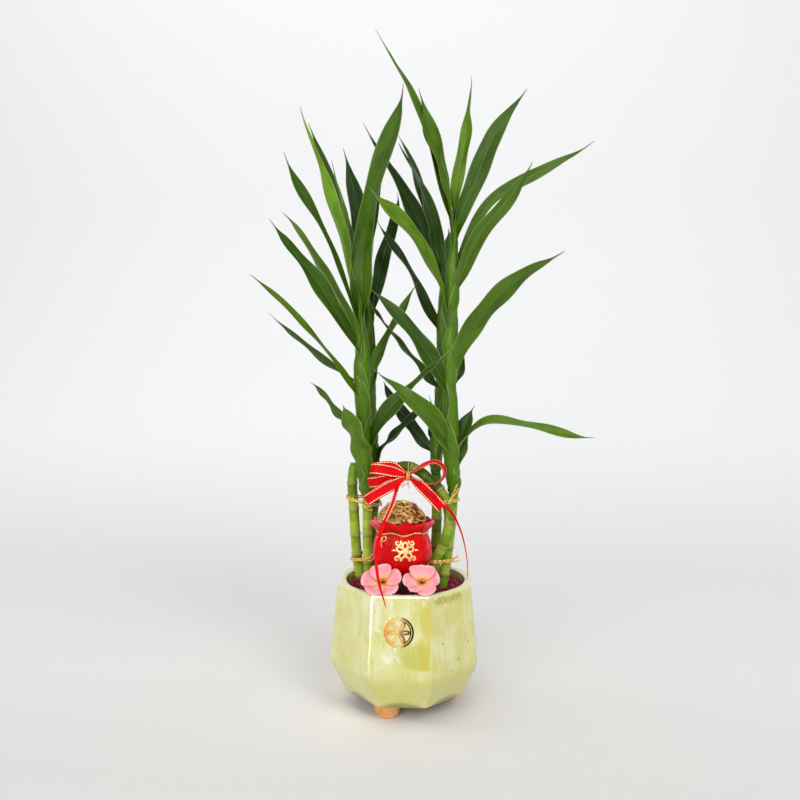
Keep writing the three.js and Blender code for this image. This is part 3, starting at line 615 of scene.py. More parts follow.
@dataclass(frozen=True)
class PearlGlaze(Finish):
    """Pearly, lustrous glaze: pale green over yellow, streaked downwards, with a nacre-like gloss and painted
    reflection.
    """

    name: str = "pearl_glaze"
    pale: str = "#DFDDA4"
    body: str = "#D3CF7C"
    green: str = "#C5C656"
    pool: str = "#C8B820"

    def paint(self, ink: Painter) -> None:
        """Streaks, pools below the rim and in the facets, specks, painted reflection and shade, and a soft
        waviness.

        Args:
            ink: Lays out the nodes.
        """
        streaks = ink.noise(1, 3, 0.55, ink.place(420, 420, 28))
        clouds = ink.noise(20, 3, 0.5)
        ink.colour = ink.mix(ink.band(clouds, 0.34, 0.7), self.body, self.pale)
        ink.over(ink.band(streaks, 0.5, 0.72), 0.5, self.green)
        ink.over(ink.tag("lower"), 0.5, "#CCC966")
        broken = ink.noise(1, 3, 0.6, ink.place(190, 190, 50))
        spills = (("puddle", 0.62, "#B2B81C"), ("pool", 0.62, self.pool), ("drips", 0.9, "#A6A808"))
        for name, share, code in spills:
            uneven = ink.noise(3.2, 5, 0.75) if name == "drips" else broken
            pooled = ink.band(ink.sum("ADD", ink.tag(name), ink.scaled(uneven, -0.8, 0.8)), 0.2, 0.7)
            ink.over(pooled, share, code)
        # Painted reflection: pale patches on the front facet and a highlight along the front lip, broken into
        # streaks by this mask.
        drips = ink.band(ink.noise(1, 2, 0.5, ink.place(160, 160, 110)), 0.52, 0.62)
        lustre = ink.sum("MULTIPLY", ink.tag("lustre"), drips)
        ink.over(lustre, 0.4, "#F4F6F2")
        specks = ink.band(ink.dots(9), 0.16, 0.09)
        rare = ink.band(ink.noise(26, 1), 0.58, 0.66)
        ink.over(specks, rare, "#8FAF2A")
        ink.over(ink.tag("worn"), 0.4, "#E8E7BE")
        # Painted shade on the inner wall below the rim.
        ink.over(ink.tag("inside"), 0.75, "#77702F")
        ink.shade(
            Roughness=0.28, Coat_Weight=1.0, Coat_Roughness=0.05, Coat_IOR=1.5, Specular_IOR_Level=0.4,
            Thin_Film_Thickness=420.0, Thin_Film_IOR=1.45,
        )
        ink.bump(ink.noise(13, 2), 1.3, 0.8)
        ink.bump(streaks, 0.16, 0.35)


@dataclass(frozen=True)
class RawClay(Finish):
    """Unglazed peach terracotta with fine grit."""

    name: str = "raw_clay"

    def paint(self, ink: Painter) -> None:
        """Grit, rubbed edges and darker pits.

        Args:
            ink: Lays out the nodes.
        """
        grit = ink.noise(0.7, 4, 0.6)
        ink.colour = ink.ramp(ink.noise(7, 4, 0.6), (0.3, "#D8965A"), (0.55, "#E8A86C"), (0.75, "#F2C08C"))
        ink.over(ink.band(grit, 0.62, 0.74), 1, "#B97A50")
        ink.shade(Roughness=ink.scaled(grit, 0.78, 0.95), Specular_IOR_Level=0.25)
        ink.bump(grit, 0.25, 0.6)


@dataclass(frozen=True)
class GoldPrint(Finish):
    """Fired-on lustrous gold print; its drift paints a reflection from bright orange to dark brown."""

    name: str = "gold_print"
    metallic: float = 1.0

    def paint(self, ink: Painter) -> None:
        """A metal with warm and dark drifts of painted reflection, and worn specks.

        Args:
            ink: Lays out the nodes.
        """
        # The drift paints a reflection: bright orange at its low end, dark brown at its high end.
        drift = ink.sum("ADD", ink.tag("drift"), ink.scaled(ink.noise(6, 3), -0.22, 0.22))
        ink.colour = ink.ramp(
            drift, (0.0, "#F08418"), (0.3, "#FBC250"), (0.5, "#FFE49C"), (0.66, "#A45E18"), (0.85, "#4E280A"),
        )
        ink.shade(
            Metallic=self.metallic, Roughness=ink.scaled(ink.noise(1.6, 3), 0.2, 0.4),
            Coat_Weight=0.4, Coat_Roughness=0.08,
        )
        ink.bump(ink.noise(0.8, 3), 0.06, 0.5)


@dataclass(frozen=True)
class Grained(Finish):
    """A dull finish of one grain: its tones from hollow to ridge."""

    size: float = 0.7
    detail: float = 3
    stops: Sequence[tuple[float, str]] = ()
    roughness: float = 0.7
    depth: float = 0.15

    def paint(self, ink: Painter) -> None:
        """The grain's tones and its relief.

        Args:
            ink: Lays out the nodes.
        """
        grain = ink.noise(self.size, self.detail, 0.6)
        ink.colour = ink.ramp(grain, *self.stops)
        ink.shade(Roughness=self.roughness, Specular_IOR_Level=0.3)
        ink.bump(grain, self.depth, 0.7)


POTTING_SOIL = Grained(
    "potting_soil", 2.2, 5, ((0.35, "#1D140E"), (0.55, "#3A2A1E"), (0.72, "#5A4432")), 0.95, 1.2,
)
BUD_SCAR = Grained("bud_scar", 0.7, 3, ((0.3, "#A66A4E"), (0.6, "#D49A84"), (0.8, "#E6BDA4")))
DARK_EYE = Grained("dark_eye", 0.5, 3, ((0.4, "#1C2412"), (0.75, "#5A5A22")), 0.6)
GREEN_PICK = Grained("green_pick", 1.2, 4, ((0.3, "#2F5424"), (0.7, "#5C8A40")), 0.6)


@dataclass(frozen=True)
class DyedGravel(Finish):
    """Chippings dyed crimson, each a little different, with a dusty bloom."""

    name: str = "dyed_gravel"

    def paint(self, ink: Painter) -> None:
        """A tint for each chipping, pits and dust.

        Args:
            ink: Lays out the nodes.
        """
        grain = ink.noise(0.6, 4, 0.6)
        ink.colour = ink.ramp(
            ink.tag("tint"), (0.0, "#4E0A18"), (0.35, "#84142C"), (0.7, "#A0203E"), (1.0, "#BC4A62"),
        )
        ink.over(ink.band(grain, 0.55, 0.8), 0.5, "#D58A98")
        ink.shade(Roughness=ink.scaled(grain, 0.6, 0.9), Specular_IOR_Level=0.35)
        ink.bump(grain, 0.25, 0.7)


@dataclass(frozen=True)
class StudioPaper(Finish):
    """The pale paper sweep that the part stands on."""

    name: str = "studio_paper"
    wall: str = "#F3F3F4"
    floor: str = "#E2E0DE"
    shade: str = "#D9D7D5"

    def paint(self, ink: Painter) -> None:
        """An even paper tone with painted shade: a little greyer on the floor, darker still towards the
        front.

        Args:
            ink: Lays out the nodes.
        """
        # Painted shade: the floor greyer than the wall, and darker still near the front.
        ink.colour = ink.mix(ink.tag("wall"), self.floor, self.wall)
        ink.over(ink.tag("near"), 1, self.shade)
        ink.shade(Roughness=0.85, Specular_IOR_Level=0.2)


# Pot, feet and what fills the pot

@dataclass
class Pot:
    """The glazed octagonal pot with its three clay feet and its printed medallion."""

    sides: int = 8
    rim_height: float = 107.5
    rim_apothem: float = 56.3
    shoulder_height: float = 41.0
    shoulder_apothem: float = 62.5
    base_height: float = 12.3
    base_apothem: float = 48.4
    edge_round: float = 3.4
    facet_crown: float = 0.35
    mouth_radius: float = 51.4
    belly_radius: float = 56.0
    floor_height: float = 18.0
    floor_radius: float = 40.0
    foot_ring: float = 35.5
    foot_first: float = -111.5
    foot_top: float = 12.4
    foot_tread: float = 9.6
    medallion_centre: tuple[float, float] = (-1.4, 78.8)
    medallion_radius: float = 12.2

    def ring(self, apothem: float) -> np.ndarray:
        """One level of the outside: crowned facets with rounded corners between them.

        Args:
            apothem: How far a facet lies from the axis.

        Returns:
            Flat coordinates, anticlockwise.
        """
        half = math.pi / self.sides
        inner = apothem - self.edge_round
        flat = inner * math.tan(half)
        points = []
        for k in range(self.sides):
            face = 2 * half * k
            out = around(face)
            side = np.array([-out[1], out[0]])
            t = np.linspace(-1, 1, 17)[:, None]
            points.append(out * (apothem + self.facet_crown * (1 - t * t)) + side * flat * t)
            turn = face + np.linspace(0, 2 * half, 7)[1:-1]
            points.append(around(turn, self.edge_round, out * inner + side * flat))
        return np.vstack(points)

    def _levels(self) -> list[tuple[float, float, float]]:
        """Apothem, height and share of roundness of every level, from below the base to the inner floor.

        Returns:
            One entry a level.
        """
        outside = rounded(
            [[8, self.base_height], [self.base_apothem, self.base_height],
             [self.shoulder_apothem, self.shoulder_height], [self.rim_apothem + 0.1, self.rim_height],
             [self.rim_apothem - 3, self.rim_height]],
            [2.2, 7.0, 2.6], steps=9,
        )
        outside = np.vstack([
            *(np.linspace(a, b, max(2, int(np.hypot(*(b - a)) / 2)), endpoint=False)
              for a, b in zip(outside, outside[1:])), outside[-1:],
        ])
        levels = [(a, z, 0.0) for a, z in outside]
        lip = rounded(
            [[self.rim_apothem - 3, self.rim_height], [self.mouth_radius, self.rim_height - 0.4],
             [self.mouth_radius + 0.3, self.rim_height - 8]], [1.6], steps=6,
        )[1:]
        levels += [(a, z, min(1.0, 0.35 + 0.22 * k)) for k, (a, z) in enumerate(lip)]
        inside = rounded(
            [[self.mouth_radius + 0.3, self.rim_height - 8], [self.belly_radius, self.shoulder_height],
             [self.floor_radius + 6, self.floor_height + 5], [self.floor_radius, self.floor_height],
             [4, self.floor_height]], [12, 6, 4], steps=6,
        )[1:]
        return levels + [(a, z, 1.0) for a, z in inside]

    def build_body(self) -> None:
        """The pot itself, one closed shell."""
        rows = []
        for apothem, height, roundness in self._levels():
            flat = self.ring(max(apothem, self.edge_round + 1))
            circle = unit(flat) * apothem
            place = flat * (1 - roundness) + circle * roundness
            rows.append(np.column_stack([place, np.full(len(place), height)]))
        rows = np.array(rows)
        x, y, z = rows[..., 0], rows[..., 1], rows[..., 2]
        outer = smooth((np.hypot(x, y) - self.mouth_radius + 3) / 3)
        lower = smooth((self.shoulder_height + 3 - z) / 6)
        front = smooth((-y - 52) / 4) * smooth((25 - np.abs(x)) / 2)
        run = smooth((x - 12) / 6) * smooth((27 - x) / 3) * smooth((z - 47) / 4)
        puddle = front * smooth((x + 8) / 12) * smooth((z - 49 + 0.12 * x) / 4) * smooth((82 - z) / 20)
        rim_drips = smooth((z - 94) / 8) * smooth((106 - z) / 2)
        rim_drips *= smooth((x - 23) / 6) * smooth((58 - x) / 14)
        # Painted reflection: a highlight along the front lip and pale patches on the left of the front facet.
        lip_highlight = front * smooth((z - 98) / 3)
        lustre = front * smooth((x + 22) / 3) * smooth((2 - x) / 5) * smooth((z - 50) / 6) + 0.8 * lip_highlight
        # The inner wall below the rim gets painted shade through the inside tag.
        within = smooth((self.mouth_radius + 1.2 - np.hypot(x, y)) / 2)
        draft = Draft().skin(
            rows, lower=lower, pool=0.8 * front * run, puddle=0.8 * puddle, drips=0.62 * rim_drips * outer,
            worn=smooth((z - self.rim_height + 2.5) / 2), lustre=np.clip(lustre, 0, 1) * outer,
            inside=within * smooth((self.rim_height - 0.8 - z) / 2),
        )
        draft.build("pot_body", [PearlGlaze()], "glaze", ["pot"], sharp=60)

    def build_feet(self) -> None:
        """Three turned feet with a slightly uneven skin."""
        names = ("foot_front", "foot_right", "foot_back")
        for k, name in enumerate(names):
            centre = around(math.radians(self.foot_first + 120 * k), self.foot_ring)
            profile = rounded(
                [[0.4, 0], [self.foot_tread - 0.6, 0], [self.foot_tread + 0.2, 1.2],
                 [self.foot_top, self.base_height - 0.3], [0.4, self.base_height - 0.3]],
                [0.5, 0.9, 0], steps=5,
            )
            dense = [np.linspace(a, b, 4)[:-1] for a, b in zip(profile, profile[1:])]
            rows = turned(np.vstack([*dense, profile[-1:]]), 40, centre)
            for point in rows.reshape(-1, 3):
                if 0.5 < point[2] < self.base_height - 1:
                    lump = field_noise.noise((point[0] / 5, point[1] / 5, point[2] / 5 + k))
                    point[:2] += (point[:2] - centre) * lump * 0.012
            Draft().skin(rows).build(f"{name}_clay", [RawClay()], "clay", [name])

    def on_facet(self, across_face: Any, height: Any, proud: Any) -> np.ndarray:
        """Points on the front facet, some way proud of it.

        Args:
            across_face: How far right of the axis.
            height: How high above the table.
            proud: How far out from the glaze.

        Returns:
            Their coordinates.
        """
        across_face, height, proud = np.broadcast_arrays(across_face, height, proud)
        share = (height - self.shoulder_height) / (self.rim_height - self.shoulder_height)
        apothem = self.shoulder_apothem + (self.rim_apothem - self.shoulder_apothem) * share
        flat = (apothem - self.edge_round) * math.tan(math.pi / self.sides)
        out = apothem + self.facet_crown * (1 - (across_face / flat) ** 2)
        return np.stack([across_face, -(out + proud), height], axis=-1)

    def build_medallion(self) -> None:
        """A gold ring round a six-fold rosette of crossing arcs, printed a hair proud of the glaze."""
        x, z = self.medallion_centre
        reach = self.medallion_radius
        # The drift darkens the print from orange at the left to brown at the right: painted reflection.
        relief = Relief(lambda u, v, h: self.on_facet(x + u, z + v, h), 0.02, 0.16, drift=0.036)
        relief.circle((0, 0), reach - 0.8, 1.6)
        inner = reach - 2.6
        relief.circle((0, 0), inner, 1.1)
        for way in turns(6):
            turn = np.linspace(way + math.tau / 3, way + math.tau * 2 / 3, 26)
            relief.stroke(around(turn, inner, around(way, inner)), 1.6)
        relief.circle((0, 0), 2.6, 1.4)
        relief.draft.build("pot_medallion", [GoldPrint()], "gold")

    def build(self) -> None:
        """Builds and dresses the pot, its feet and its medallion."""
        self.build_body()
        self.build_feet()
        self.build_medallion()


@dataclass
class Relief:
    """Raised strokes on a surface that maps a flat drawing to space, with a drift in their tone for painted
    reflection.
    """

    surface: Callable[..., np.ndarray]
    lift: float
    thickness: float
    drift: float = 0.0
    draft: Draft = field(default_factory=Draft)

    def stroke(self, line: np.ndarray, width: Any, closed: bool = False, bulge: float = 0.35) -> None:
        """Draws one stroke.

        Args:
            line: Its middle line in the drawing.
            width: Its width, one or one a point.
            closed: Whether it ends where it starts.
            bulge: How much thicker its middle is.
        """
        line = np.asarray(line, float)
        if closed:
            ahead = np.roll(line, -1, axis=0) - np.roll(line, 1, axis=0)
        else:
            ahead = np.gradient(line, axis=0)
        side = unit(np.column_stack([-ahead[:, 1], ahead[:, 0]]))
        half = np.full(len(line), width, float)[:, None] / 2
        rows = []
        for share, high in ((-1, 0), (-0.92, 0.8), (0, 1 + bulge), (0.92, 0.8), (1, 0)):
            u, v = (line + side * half * share).T
            rows.append(self.surface(u, v, self.lift + self.thickness * high))
        # Drift across the drawing, for a painted reflection on the print.
        drift = np.clip(self.drift * line[:, 0] + 0.5, 0, 1)
        self.draft.skin(np.stack(rows, axis=1), loop=closed, capped=not closed, drift=drift)

    def circle(self, centre: Sequence[float], radius: float, width: float, steps: int = 72) -> None:
        """Draws a ring."""
        self.stroke(around(turns(steps), radius, centre), width, closed=True)


# Canes

@dataclass(frozen=True)
class CaneSkin(Finish):
    """Waxy green cane, yellower up each joint, with tan scars round the nodes."""

    name: str = "cane_skin"

    def paint(self, ink: Painter) -> None:
        """Fine upright fibres, a tint for each joint, and the rings' tan and brown.

        Args:
            ink: Lays out the nodes.
        """
        fibres = ink.noise(1, 3, 0.6, ink.place(900, 900, 45))
        clouds = ink.noise(11, 3, 0.5)
        ink.colour = ink.ramp(
            ink.tag("tint"), (0.0, "#3C6008"), (0.4, "#74961A"), (0.75, "#A8BE36"), (1.0, "#C6D452"),
        )
        ink.over(ink.band(fibres, 0.45, 0.75), 0.3, "#B4C650")
        ink.over(ink.band(clouds, 0.48, 0.72), 0.55, "#4A7414")
        ink.over(ink.tag("bloom"), 0.3, "#A9BC60")
        ink.over(ink.tag("below"), 0.5, "#3A5C12")
        ink.over(ink.tag("scar"), 0.95, "#BC9460")
        specks = ink.band(ink.dots(3.4), 0.13, 0.07)
        ink.over(specks, 0.35, "#6B5B2F")
        ink.shade(
            Roughness=ink.scaled(clouds, 0.32, 0.5), Coat_Weight=0.05,
            Coat_Roughness=0.25, Specular_IOR_Level=0.2,
        )
        ink.bump(fibres, 0.12, 0.45)


@dataclass(frozen=True)
class Cane:
    """One cut cane: where it runs, where its nodes are and how yellow it is."""

    name: str
    radius: float
    path: Table
    nodes: Sequence[float]
    yellow: float
    eyes: Sequence[Sequence[float]] = ()
    domed: bool = False


CANE_FOOT = 55
CANES = (
    Cane("cane_left_short", 4.5, [
        [-41, 20, CANE_FOOT], [-42.6, 18.9, 101.8], [-45.1, 16.7, 123.3], [-47.4, 14.6, 164.2],
        [-48.7, 14.5, 187.6], [-47.2, 15.8, 205],
    ], (48, 69, 87, 110, 133), 0.72, domed=True),
    Cane("cane_left_front", 4.1, [
        [-33, 5.6, CANE_FOOT], [-33.4, 5.6, 104], [-34.2, 5.5, 132], [-34.2, 5.3, 176],
    ], (64.5, 89.4, 113), 0.7),
    Cane("cane_left_back", 4.3, [
        [-33, 31, CANE_FOOT], [-32.5, 31.5, 120], [-32, 30.5, 180],
    ], (47, 76, 104), 0.5),
    Cane("cane_arch", 4.6, [
        [-29, 21, CANE_FOOT], [-29.5, 20, 100], [-30, 18.5, 135], [-30, 16.5, 163], [-26.5, 13, 181],
        [-20, 8.5, 192], [-11.5, 4, 200], [-1, 0.5, 204.5], [10, -2, 202], [21, -4.5, 194],
        [30, -6.5, 185], [37, -8.5, 171], [38.2, -9.4, 156], [33.4, -9, 138], [27.6, -6.6, 126],
        [23, -3.5, 112], [20, -1.5, 98], [18, 0, CANE_FOOT],
    ], (60, 92, 124, 172, 203, 232, 254, 300), 0.42,
        ([36.2, -14, 161.0], [33.3, -12.5, 180.8], [25.8, -10.5, 190])),
    Cane("cane_right_front", 4.2, [
        [29, -5.5, CANE_FOOT], [32.1, -3.7, 97.3], [36.3, -1.3, 125], [39.4, 1, 149], [41.8, 1.4, 182],
    ], (57, 80.5, 100), 0.66),
    Cane("cane_right_back", 4.4, [
        [24, 10, CANE_FOOT], [24.6, 10, 110], [27, 10, 150], [26.4, 10, 196],
    ], (50, 79, 103, 132), 0.3),
)


@dataclass
class CaneStand:
    """The six canes standing in the pot."""

    sides: int = 24
    step: float = 1.0
    node_swell: float = 0.55
    node_half: float = 1.3
    groove: float = 0.22
    dome: float = 8.0

    def build_cane(self, cane: Cane, seed: int) -> None:
        """One cane with its swollen nodes, cut ends and eyes.

        Args:
            cane: Its sizes.
            seed: The seed of its unevenness.
        """
        draw = np.random.default_rng(seed)
        route = Route(cane.path)
        share = np.linspace(0, 1, int(route.length / self.step) + 1)
        far = share * route.length
        nodes = np.array(cane.nodes, float)
        offset = far[:, None] - nodes
        near = offset[np.arange(len(far)), np.abs(offset).argmin(1)]
        swell = self.node_swell * np.exp(-(near / self.node_half) ** 2)
        swell -= self.groove * np.exp(-((near - 1.9) / 0.7) ** 2)
        wander = np.array([field_noise.noise((0.03 * f, 3.0 * seed, 0.5)) for f in far])
        radius = cane.radius * (1 + 0.02 * wander) + swell
        ways = route.way(share)
        ways[0] = np.sign(ways[0, 2]) * UP
        ways[-1] = np.sign(ways[-1, 2]) * UP
        rows = tube(route.at(share), ways, radius, self.sides)
        top, inward = rows[-1].mean(0), ways[-1]
        cap = [top + (rows[-1] - top) * keep + inward * rise for keep, rise in ((0.93, 0.12), (0.55, 0.1))]
        if cane.domed:
            left = 1 - (route.length - far[-9:]) / self.dome
            kept = 1 - 0.55 * (1 - np.sqrt(np.clip(1 - left ** 2, 0, 1)))
            rows[-9:] = top + (rows[-9:] - top) * kept[:, None, None]
        rows = np.concatenate([rows, np.array(cap)])
        joint = np.searchsorted(nodes, far)
        tints = draw.normal(0, 0.09, len(nodes) + 1)[joint]
        pad = (0, len(cap))
        shaded = 0.34 * smooth((route.at(share)[:, 2] - 164) / 24)
        tint = np.clip(cane.yellow + tints + 0.1 * np.sin(near * 0.12) - shaded, 0, 1)
        draft = Draft().skin(
            rows, tint=np.pad(tint, pad, mode="edge"),
            scar=np.pad(np.exp(-(near / 0.6) ** 2), pad, constant_values=0.5),
            below=np.pad(np.exp(-((near + 2.6) / 1.2) ** 2), pad),
            bloom=np.pad(np.exp(-((near - 3.4) / 2.4) ** 2), pad),
        )
        for eye in cane.eyes:
            self._add_eye(draft, route, eye, cane.radius)
        draft.build(f"{cane.name}_stalk", [CaneSkin(), BUD_SCAR], "cane", [cane.name])

    @staticmethod
    def _add_eye(draft: Draft, route: Route, towards: Sequence[float], radius: float) -> None:
        """Adds a small domed eye on the side of a cane.

        Args:
            draft: Where it goes.
            route: The cane's line.
            towards: The point that it looks to.
            radius: The cane's radius.
        """
        shares = np.linspace(0, 1, 400)
        line = route.at(shares)
        k = int(np.linalg.norm(line - towards, axis=1).argmin())
        way = route.way(shares[k])[0]
        out = across(towards - line[k], way)
        side = np.cross(way, out)
        turn = turns(14)[:, None]
        oval = 1.1 * np.cos(turn) * side + 1.5 * np.sin(turn) * way
        dome = ((1.0, -0.3), (0.85, 0.25), (0.5, 0.55), (0.15, 0.7))
        rows = [line[k] + out * (radius + high) + spread * oval for spread, high in dome]
        draft.skin(np.array(rows), slot=1)

    def build(self) -> None:
        """Builds and dresses every cane."""
        for seed, cane in enumerate(CANES, start=11):
            self.build_cane(cane, seed)


# Leafy shoots

@dataclass(frozen=True)
class LeafBlade(Finish):
    """Strap leaf: deep green with fine parallel veins, a thin pale margin that is partly a painted highlight,
    and a dry tip.
    """

    name: str = "leaf_blade"

    def paint(self, ink: Painter) -> None:
        """Tone of each leaf, light sheath and base, veins, margin with painted highlight, underside and tip.

        Args:
            ink: Lays out the nodes.
        """
        along, side = ink.tag("along"), ink.tag("side")
        place = ink.laid(side, ink.tag("run"), ink.tag("tint"))
        veins = ink.noise(0.035, 2, 0.5, ink.place(1, 0.0016, 1, of=place))
        clouds = ink.noise(0.6, 3, 0.55, ink.place(0.5, 0.03, 1, of=place))
        ink.colour = ink.ramp(
            ink.tag("tint"),
            (0.0, "#12280E"), (0.25, "#26440A"), (0.5, "#44640A"), (0.75, "#5C800C"), (1.0, "#7CAC0A"),
        )
        ink.over(ink.band(veins, 0.42, 0.66), 0.25, "#5E8A10")
        ink.over(ink.band(clouds, 0.42, 0.68), 0.45, "#1E360A")
        ink.over(ink.tag("under"), 0.25, "#58781A")
        base = ink.band(along, 0.24, -0.06)
        ink.over(base, 0.72, ink.mix(veins, "#365C06", "#669018"))
        rib = ink.band(ink.sum("ABSOLUTE", side), 0.07, 0.01)
        ink.over(rib, 0.2, "#7FA650")
        # A pale line along the edges: partly the leaf's margin, partly a painted highlight.
        edge = ink.band(ink.sum("ABSOLUTE", side), 0.9, 0.97)
        ink.over(edge, 0.5, "#A0B868")
        dry = ink.band(along, 0.93, 0.965)
        ink.over(dry, 1, ink.ramp(clouds, (0.3, "#5A5444"), (0.7, "#948E7E")))
        ink.shade(Roughness=ink.scaled(veins, 0.34, 0.48), Specular_IOR_Level=0.22)
        ink.bump(veins, 0.16, 0.6)
        ink.bump(clouds, 0.5, 0.5)


@dataclass(frozen=True)
class Leaf:
    """One strap leaf: the height where it leaves the stem, its way to the tip, width and turn."""

    at: float
    path: Table
    width: float
    turn: float
    full: float = 0.0
    bright: float = 0.0


@dataclass(frozen=True)
class Shoot:
    """A leafy stem: its line, its radii by share of the length, and its leaves."""

    name: str
    tone: float
    stem: Table
    radii: Table
    leaves: Sequence[Leaf]


SHOOTS = (
    Shoot("shoot_left_front", 0.5, [
        [-34.2, 5.3, 176.3], [-35.2, 3.6, 192], [-37, -0.2, 226], [-36.6, -2.4, 262],
        [-37.8, -2.6, 306], [-39.6, -2.8, 352],
    ], [[0, 4.2], [0.12, 7], [0.3, 6.8], [0.55, 5.6], [0.8, 4.6], [1, 2]], (
        Leaf(186, [[-43, -13, 235], [-54, -20, 260]], 18, -40, 1.0),
        Leaf(200, [[-15, -11, 252], [35, -20, 302]], 14, 65, 0.6),
        Leaf(214, [[-61, -2, 253], [-81, -4, 279]], 9, -50),
        Leaf(236, [[-66, -26, 306], [-120, -54, 366]], 13, 60),
        Leaf(252, [[-21, 8, 310], [10, 14, 366]], 11, -60),
        Leaf(280, [[-65, -22, 350], [-106, -50, 409]], 16, 60, 0.5),
        Leaf(286, [[-69, 3, 370], [-108, 9, 429]], 14, -60),
        Leaf(292, [[-58, -14, 381], [-98, -38, 465]], 14, 62, 0.5),
        Leaf(306, [[-60, 4, 423], [-96, 15, 520]], 14, -62, bright=0.42),
        Leaf(300, [[-36, -10, 384], [-24, -15, 448], [2, -8, 528]], 22, 80, full=1.0, bright=0.05),
        Leaf(316, [[-50, -9, 415], [-62, -18, 464]], 12, 50),
    )),
    Shoot("shoot_left_back", 0.22, [
        [-32, 30.5, 180.3], [-31.6, 29, 203], [-32.6, 25.5, 236], [-33.6, 24, 270],
        [-34.6, 25, 315], [-35.6, 27, 362],
    ], [[0, 4.3], [0.14, 6], [0.4, 5.4], [0.8, 4.2], [1, 2]], (
        Leaf(190, [[-13, 13, 229], [18, 10, 258]], 13, 60),
        Leaf(222, [[-40, 52, 262], [-44, 88, 275]], 14, 20),
        Leaf(250, [[-77, 23, 298], [-129, 34, 341]], 9, -35),
        Leaf(256, [[-42, 58, 302], [-49, 98, 322]], 15, -20),
        Leaf(300, [[-40, 56, 362], [-47, 92, 402]], 14, 15),
        Leaf(312, [[-60, 32, 429], [-94, 48, 516]], 14, 60),
        Leaf(318, [[-47, 42, 437], [-61, 60, 494]], 17, 50),
        Leaf(330, [[-25, 25, 457], [-12, 21, 510]], 14, 45),
        Leaf(312, [[-22, 40, 394], [-8, 62, 456]], 13, 55),
    )),
    Shoot("shoot_right_front", 0.55, [
        [41.8, 1.4, 182.3], [41.3, 0.4, 194], [40.2, -0.8, 210], [39.5, -1, 228], [38.2, 0.8, 262],
        [38.9, 2.9, 306], [40, 5.4, 352], [42.4, 8, 420],
    ], [[0, 4.3], [0.03, 5.2], [0.1, 7.4], [0.3, 7], [0.5, 5.6], [0.8, 4.4], [1, 2.2]], (
        Leaf(192, [[48, 2, 230], [58, 6, 256]], 16, 55, 0.5),
        Leaf(200, [[17, -30, 255], [-22, -39, 287]], 19, 62, 0.5),
        Leaf(200, [[68, -6, 244], [104, -14, 242], [158, -24, 230]], 15, 30),
        Leaf(246, [[8, -12, 319], [-30, -17, 359]], 17, 62, 0.5),
        Leaf(262, [[55, -8, 322], [84, -22, 354], [126, -37, 383]], 17, -60, 0.4),
        Leaf(312, [[13, -12, 395], [-28, -28, 436]], 20, 60, 0.5),
        Leaf(330, [[63, -10, 400], [108, -30, 456]], 14, -60),
        Leaf(338, [[65, 19, 424], [100, 33, 457], [170, 53, 493]], 12, 50),
        Leaf(372, [[66, 14, 471], [105, 34, 539]], 17, 55),
        Leaf(378, [[29, -3, 467], [11, -14, 523]], 20, 55),
        Leaf(398, [[49, 6, 478], [58, -2, 536]], 12, 78, bright=0.4),
        Leaf(376, [[15, -14, 498], [-22, -33, 565]], 15, 60),
    )),
    Shoot("shoot_right_back", 0.18, [
        [26.4, 10, 196.3], [26.4, 12, 210], [27.4, 17, 228], [29.6, 22.4, 254], [31.2, 27.4, 290],
        [32, 30.4, 326], [32, 32.4, 366],
    ], [[0, 4.4], [0.12, 5.4], [0.4, 5.2], [0.8, 4.2], [1, 2]], (
        Leaf(200, [[2, 23, 240], [-24, 22, 280]], 13, 60),
        Leaf(206, [[23, 30, 244], [20, 40, 264]], 11, -40),
        Leaf(234, [[34, 58, 276], [39, 94, 290]], 15, 20),
        Leaf(250, [[46, 44, 287], [53, 58, 309]], 9, 50),
        Leaf(252, [[-4, 2, 310], [-33, -13, 350]], 13, 60),
        Leaf(278, [[36, 66, 326], [42, 100, 346]], 15, -20),
        Leaf(298, [[4, 26, 373], [-27, 24, 422]], 13, 60),
        Leaf(322, [[34, 66, 386], [37, 98, 430]], 15, 15),
        Leaf(336, [[4, 22, 433], [-36, 2, 498]], 15, 60),
        Leaf(346, [[13, 34, 452], [-9, 27, 492]], 18, 55),
        Leaf(352, [[8, 48, 466], [-11, 60, 510]], 9, 50),
    )),
)


class Sections(NamedTuple):
    """Cross-sections along a sheath or a blade, each row of these arrays one of them."""

    centre: np.ndarray
    ways: np.ndarray
    face: np.ndarray
    half: np.ndarray
    arch: np.ndarray
    along: np.ndarray


